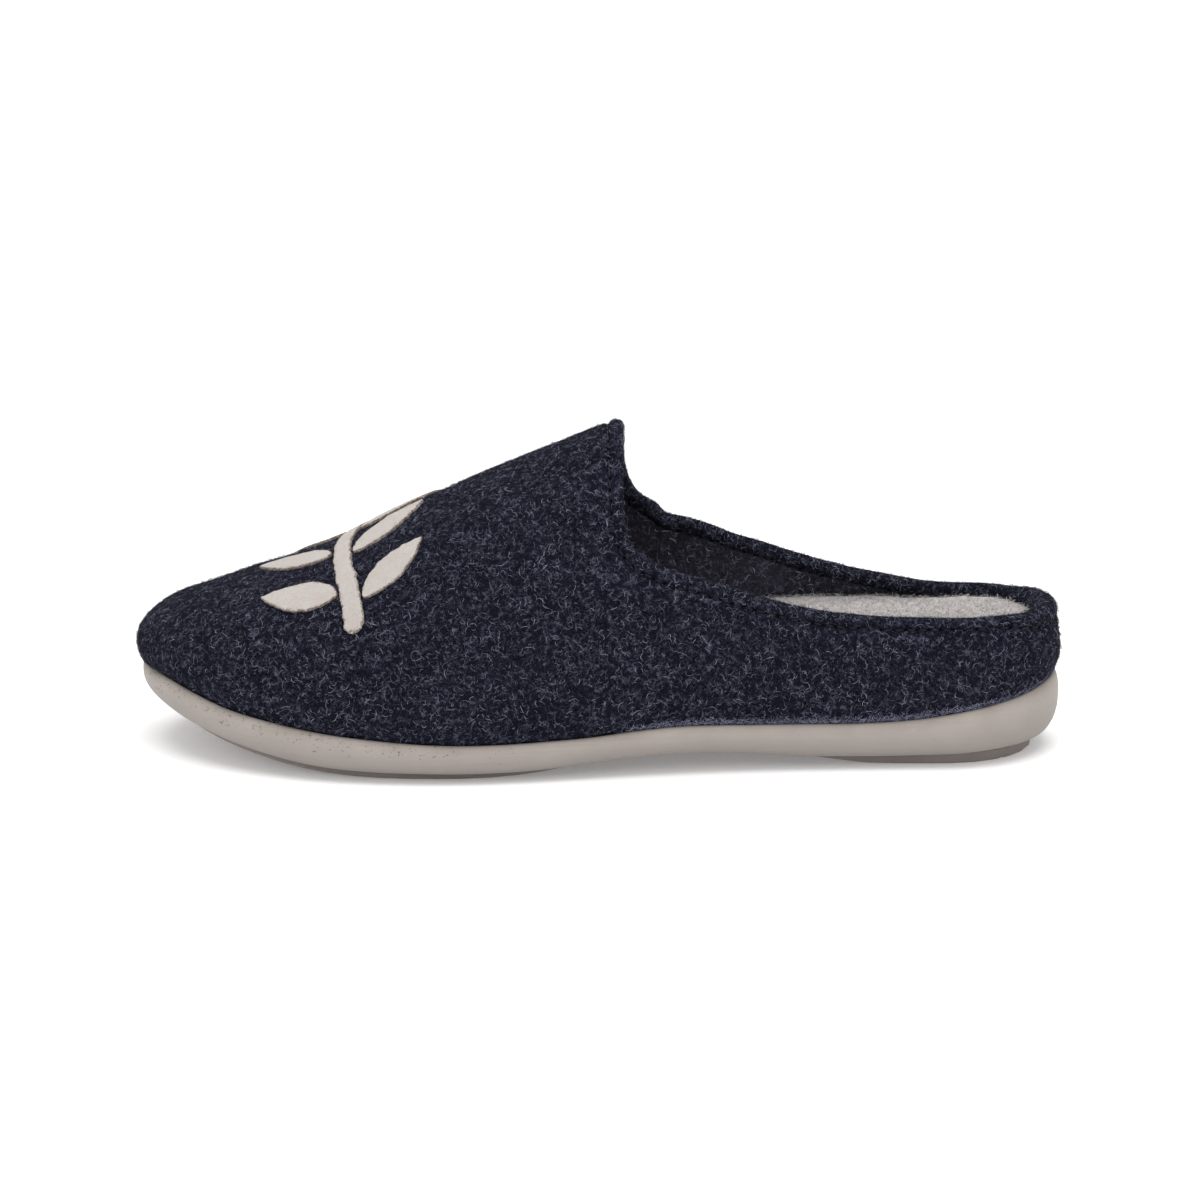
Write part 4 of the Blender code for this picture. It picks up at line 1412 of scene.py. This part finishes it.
def make_sole(look):
    form = last()
    lip, seat = TUCK_INSET - CLEARANCE, TUCK_DEPTH + CLEARANCE

    def up(part):
        def height(share):
            return edge_height(share) + (lip_height(share) - edge_height(share)) * part

        return height

    def recess(share):
        return tread_height(share) + TREAD + CLEARANCE

    rows = [form.loop(TREAD_INSET - CLEARANCE, recess)]
    rows.append(form.loop(TREAD_INSET - CLEARANCE, edge_height))
    ups = [0.0, 0.0]
    for k in range(FLANK_STEPS + 1):
        part = 0.97 * (k / FLANK_STEPS) ** 1.5
        rows.append(form.loop(EDGE_ROUND * read(FLANK, FLANK_COLUMNS, "inset", part), up(part)))
        ups.append(part)
    rows.append(form.loop(lip - LIP_WIDTH * 0.6, up(0.993)))
    rows.append(form.loop(lip - LIP_WIDTH / 4, lip_height))
    rows.append(form.loop(lip, lambda s: lip_height(s) - LIP_WIDTH / 3))
    rows.append(form.loop(lip, lambda s: lip_height(s) - seat))
    ups += [1.0] * 4
    rows = np.stack(rows)
    count = form.count
    faces = loop_faces(len(rows), count)
    faces += ladder(count, 0) + ladder(count, (len(rows) - 1) * count)
    # the lower colour is painted shade towards the sole's lower edge
    finish = rubber_finish("taupe foam rubber", tuple(look.top), tuple(look.low), 0.62)
    sole = mesh_object("sole_unit", rows.reshape(-1, 3), faces, [finish])
    face_outwards(sole)
    store(sole, "up", np.repeat(ups, count))
    ready(sole, "taupe_rubber", "sole")
    rise, front = np.repeat(ups, count), np.tile(form.share, len(rows))
    strewn = ease(rise, 0.45, 0.8) * ease(rise, 1.0, 0.97) * ease(front, 0.56, 0.70)
    store(sole, "specks", strewn * (np.arange(len(rise)) >= 2 * count))
    strands = templates("strands", STRAND_HAIRS)
    finish = hair_finish("shed navy hairs", *SHED_TONES)
    grow_hairs("shed_hairs", sole, strands, "specks", finish, "navy_felt", **SHED_HAIRS)
    remove_group(strands)
    tread_low = toned(look.tread, 0.8)
    worn = rubber_finish("worn tread rubber", tuple(look.tread), tread_low, 0.72, None)
    for spot in bpy.data.objects["tread"].material_slots:
        spot.material = worn


# The cut-out sprig


def section_walk(share, side):
    """The last's section at a share of the length, from the ridge down one side."""
    across = np.sin(np.linspace(0, np.pi / 2, 161))
    y = centre(share) + side * half_width(share) * across
    x = np.full_like(y, station(share))
    return np.stack([x, y, last_height(x, y)], 1)


def on_vamp(flat, lift):
    """A point of the flat sprig laid on the felt, lifted off it along its normal."""
    share = SPRIG_CENTRE + flat[0] / LENGTH
    path = section_walk(share, OUTER if flat[1] < 0 else INNER)
    p = points_at(path, np.array([abs(flat[1])]))[0]
    near = FELT / 4
    slope_x = last_height(p[0] + near, p[1]) - last_height(p[0] - near, p[1])
    slope_y = last_height(p[0], p[1] + near) - last_height(p[0], p[1] - near)
    normal = np.array([-slope_x, -slope_y, 2 * near])
    return p + normal / np.linalg.norm(normal) * lift


def stem_point(part):
    across = SPRIG_REACH * (2 * part - 1)
    bend = math.sin(math.pi * (part * 1.5 - 0.25)) + 1 - 2 * part
    return np.array([SPRIG_SWAY * bend, across])


def stem_direction(part):
    way = stem_point(part + 0.01) - stem_point(part - 0.01)
    return way / np.linalg.norm(way)


def square_to(way):
    return np.array([-way[1], way[0]])


def stem_lines(steps=150):
    """The two edges of the stem, which narrows towards its tip."""
    left, right = [], []
    for k in range(steps + 1):
        part = k / steps
        end = float(round_end(min(part, 1 - part), 0.04, 2.0))
        half = SPRIG_STEM / 2 * (1 - 0.3 * part) * max(end, 0.3)
        side = square_to(stem_direction(part)) * half
        left.append(stem_point(part) + side)
        right.append(stem_point(part) - side)
    return left, right


def leaf_lines(along, angle, size, steps=56):
    """The two edges of one leaf, a pointed oval that starts just off the stem."""
    turn = math.radians(angle)
    way = stem_direction(along)
    cos, sin = math.cos(turn), math.sin(turn)
    axis = np.array([way[0] * cos - way[1] * sin, way[0] * sin + way[1] * cos])
    root = stem_point(along) + axis * (SPRIG_STEM / 2 + SPRIG_GAP)
    left, right = [], []
    for k in range(steps + 1):
        part = (1 - math.cos(math.pi * k / steps)) / 2
        half = LEAF_WIDTH * size / 2 * max(math.sin(math.pi * part**0.85) ** 0.8, 0.04)
        p = root + axis * LEAF_LENGTH * size * part
        left.append(p + square_to(axis) * half)
        right.append(p - square_to(axis) * half)
    return left, right


SPRIG_RISE = 0.9 * MM  # the cut felt's face over the upper
SPRIG_ROUND = 0.2 * MM  # how far its edge rounds down
SPRIG_UNEVEN = 0.12 * MM  # unevenness of its face
SPRIG_ACROSS = (0.0, 0.03, 0.10, 0.25, 0.42, 0.58, 0.75, 0.90, 0.97, 1.0)
NAP_HAIRS = {"Density": 9.0e5, "Largest": 0.5, "Smallest": 0.2, "Tilt": 0.6, "Seed": 21}
NAP_TONES = ((0.30, 0.24, 0.19), (0.80, 0.76, 0.72))


def cut_felt(left, right, wander, seed, points, faces, edges):
    """Adds a domed piece of cut felt between two edges to lists of points and faces."""
    tops, lows = [], []
    size = len(left)
    for i, (a, b) in enumerate(zip(left, right)):
        ends = []
        for side, p in enumerate((a, b)):
            spot = np.array([p[0], p[1], side * 0.01])
            out = (p - (a + b) / 2) / max(np.linalg.norm(a - b) / 2, TINY)
            ragged = noise_at(spot, 2.4 * MM, seed) + 0.7 * noise_at(spot, 0.9 * MM, seed + 40)
            ends.append(p + out * wander * float(ragged))
        top, low = [], []
        for part in SPRIG_ACROSS:
            flat = ends[0] + (ends[1] - ends[0]) * part
            span = np.linalg.norm(ends[1] - ends[0])
            near = min(part, 1 - part) * span
            near = min(near, min(i, size - 1 - i) / (size - 1) * LEAF_LENGTH)
            round_top = SPRIG_ROUND * (1 - ease(near, 0, 0.3 * MM))
            uneven = SPRIG_UNEVEN * float(noise_at(np.array([*flat, 0.02]), 3 * MM, seed))
            top.append(len(points))
            points.append(on_vamp(flat, SPRIG_RISE - round_top + uneven))
            edges.append(1 - float(ease(near, 0, 0.9 * MM)))
            low.append(len(points))
            points.append(on_vamp(flat, CLEARANCE * 0.2))
            edges.append(1.0)
        tops.append(top)
        lows.append(low)
    across = len(SPRIG_ACROSS) - 1
    for sheet in (tops, lows):
        for one, two in zip(sheet, sheet[1:]):
            for k in range(across):
                faces.append((one[k], one[k + 1], two[k + 1], two[k]))
    rims = []
    for sheet in (tops, lows):
        rim = sheet[0][:-1] + [r[-1] for r in sheet[:-1]] + sheet[-1][:0:-1]
        rims.append(rim + [r[0] for r in sheet[:0:-1]])
    for i in range(len(rims[0])):
        j = (i + 1) % len(rims[0])
        faces.append((rims[1][i], rims[1][j], rims[0][j], rims[0][i]))


def make_sprig(look):
    points, faces, edges = [], [], []
    cut_felt(*stem_lines(), look.wander, 1, points, faces, edges)
    for k, row in enumerate(LEAVES):
        cut_felt(*leaf_lines(*row), look.wander, 2 + k, points, faces, edges)
    finish = cream_felt_finish(tuple(look.cream), tuple(look.edge))
    sprig = mesh_object("sprig_felt", points, faces, [finish])
    face_outwards(sprig)
    sprig.data.set_sharp_from_angle(angle=math.radians(55))
    # edge: 1 on the cut sides and near the edges, where painted shade is laid, and 0 inside the
    # face
    store(sprig, "edge", edges)
    leaves = [f"sprig_leaf_{k + 1}" for k in range(len(LEAVES))]
    ready(sprig, "cream_felt", "sprig_stem", *leaves)
    hairs = templates("nap hairs", CURLED_HAIRS)
    nap = hair_finish("cream nap", *NAP_TONES)
    store(sprig, "nap", 0.55 + 1.6 * np.array(edges))
    grow_hairs("sprig_nap", sprig, hairs, "nap", nap, "cream_felt", **NAP_HAIRS)
    remove_group(hairs)


# The stage

FLOOR_HALF = 8.0
FLOOR_TONES = ((0.925, 0.925, 0.925), (0.935, 0.935, 0.935))
FLOOR_GLOW = 0.17  # keeps the thin outer shadow white
ROOM_LIGHT = 0.67
SENSOR_WIDTH = 36  # mm

# Soft lights: name, place and size in metres, power in watts. Each looks at the slipper.
LIGHTS = (
    ("overhead", 0.0, -0.1, 2.0, 2.4, 40.0),
    ("front left", -1.0, -1.9, 1.3, 1.2, 6.2),
    ("front right", 1.0, -1.9, 1.3, 1.2, 2.6),
)


def make_stage(look):
    scene = bpy.context.scene
    floor_mesh = bpy.data.meshes.new("floor")
    half = FLOOR_HALF
    corners = [(-half, -half, 0), (half, -half, 0), (half, half, 0), (-half, half, 0)]
    floor_mesh.from_pydata(corners, [], [(0, 1, 2, 3)])
    floor = bpy.data.objects.new("floor", floor_mesh)
    scene.collection.objects.link(floor)
    s = Shade("pale floor")
    tone = s.range(s.noise(0.4), 0.0, 1.0)
    finish = s.finish(s.mix(tone, *FLOOR_TONES), 0.8, s.bump(tone, 0.0, MM))
    floor_mesh.materials.append(finish)
    glow = s.shader.inputs
    glow["Emission Color"].default_value = (1, 1, 1, 1)
    glow["Emission Strength"].default_value = FLOOR_GLOW
    floor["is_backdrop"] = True
    for name, x, y, z, size, power in LIGHTS:
        light = bpy.data.lights.new(name, "AREA")
        light.shape = "DISK"
        light.size = size
        light.energy = power
        made = bpy.data.objects.new(name, light)
        made.location = (x, y, z)
        made.rotation_euler = Vector((-x, -y, 0.04 - z)).to_track_quat("-Z", "Y").to_euler()
        scene.collection.objects.link(made)
    world = bpy.data.worlds.new("soft room")
    world.use_nodes = True
    sky = world.node_tree.nodes["Background"].inputs
    sky[0].default_value = (1, 1, 1, 1)
    sky[1].default_value = ROOM_LIGHT
    scene.world = world
    camera = bpy.data.cameras.new("camera")
    camera.lens = look.lens
    camera.sensor_width = SENSOR_WIDTH
    made = bpy.data.objects.new("camera", camera)
    up, far = look.elevation, look.distance
    made.location = (0, -far * math.cos(up), look.height + far * math.sin(up))
    made.rotation_euler = (math.pi / 2 - up, 0, 0)
    scene.collection.objects.link(made)
    scene.camera = made
    scene.view_settings.view_transform = "Standard"


STEPS = ("upper", "stitching", "hairs", "footbed", "sole", "sprig", "stage")


class SLIPPER_PT_panel(bpy.types.Panel):
    bl_label = "Slipper"
    bl_idname = "SLIPPER_PT_panel"
    bl_space_type = "VIEW_3D"
    bl_region_type = "UI"
    bl_category = "Slipper"

    def draw(self, context):
        for step in STEPS:
            self.layout.operator(f"slipper.{step}")


LOOKS = {
    "slipper_felt": SlipperFelt,
    "slipper_sole": SlipperSole,
    "slipper_bed": SlipperBed,
    "slipper_sprig": SlipperSprig,
    "slipper_stage": SlipperStage,
}
CLASSES = (
    *LOOKS.values(),
    SLIPPER_OT_upper,
    SLIPPER_OT_stitching,
    SLIPPER_OT_hairs,
    SLIPPER_OT_footbed,
    SLIPPER_OT_sole,
    SLIPPER_OT_sprig,
    SLIPPER_OT_stage,
    SLIPPER_PT_panel,
)


def register():
    for kind in CLASSES:
        bpy.utils.register_class(kind)
    for name, kind in LOOKS.items():
        setattr(bpy.types.Scene, name, PointerProperty(type=kind))


def unregister():
    for name in LOOKS:
        delattr(bpy.types.Scene, name)
    for kind in reversed(CLASSES):
        bpy.utils.unregister_class(kind)


def main():
    register()
    for step in STEPS:
        getattr(bpy.ops.slipper, step)()
    boxes = {"cad": CAD_BOX, "visual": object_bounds()}
    {k: [list(corner) for corner in box] for k, box in boxes.items()}


if __name__ == "__main__":
    main()
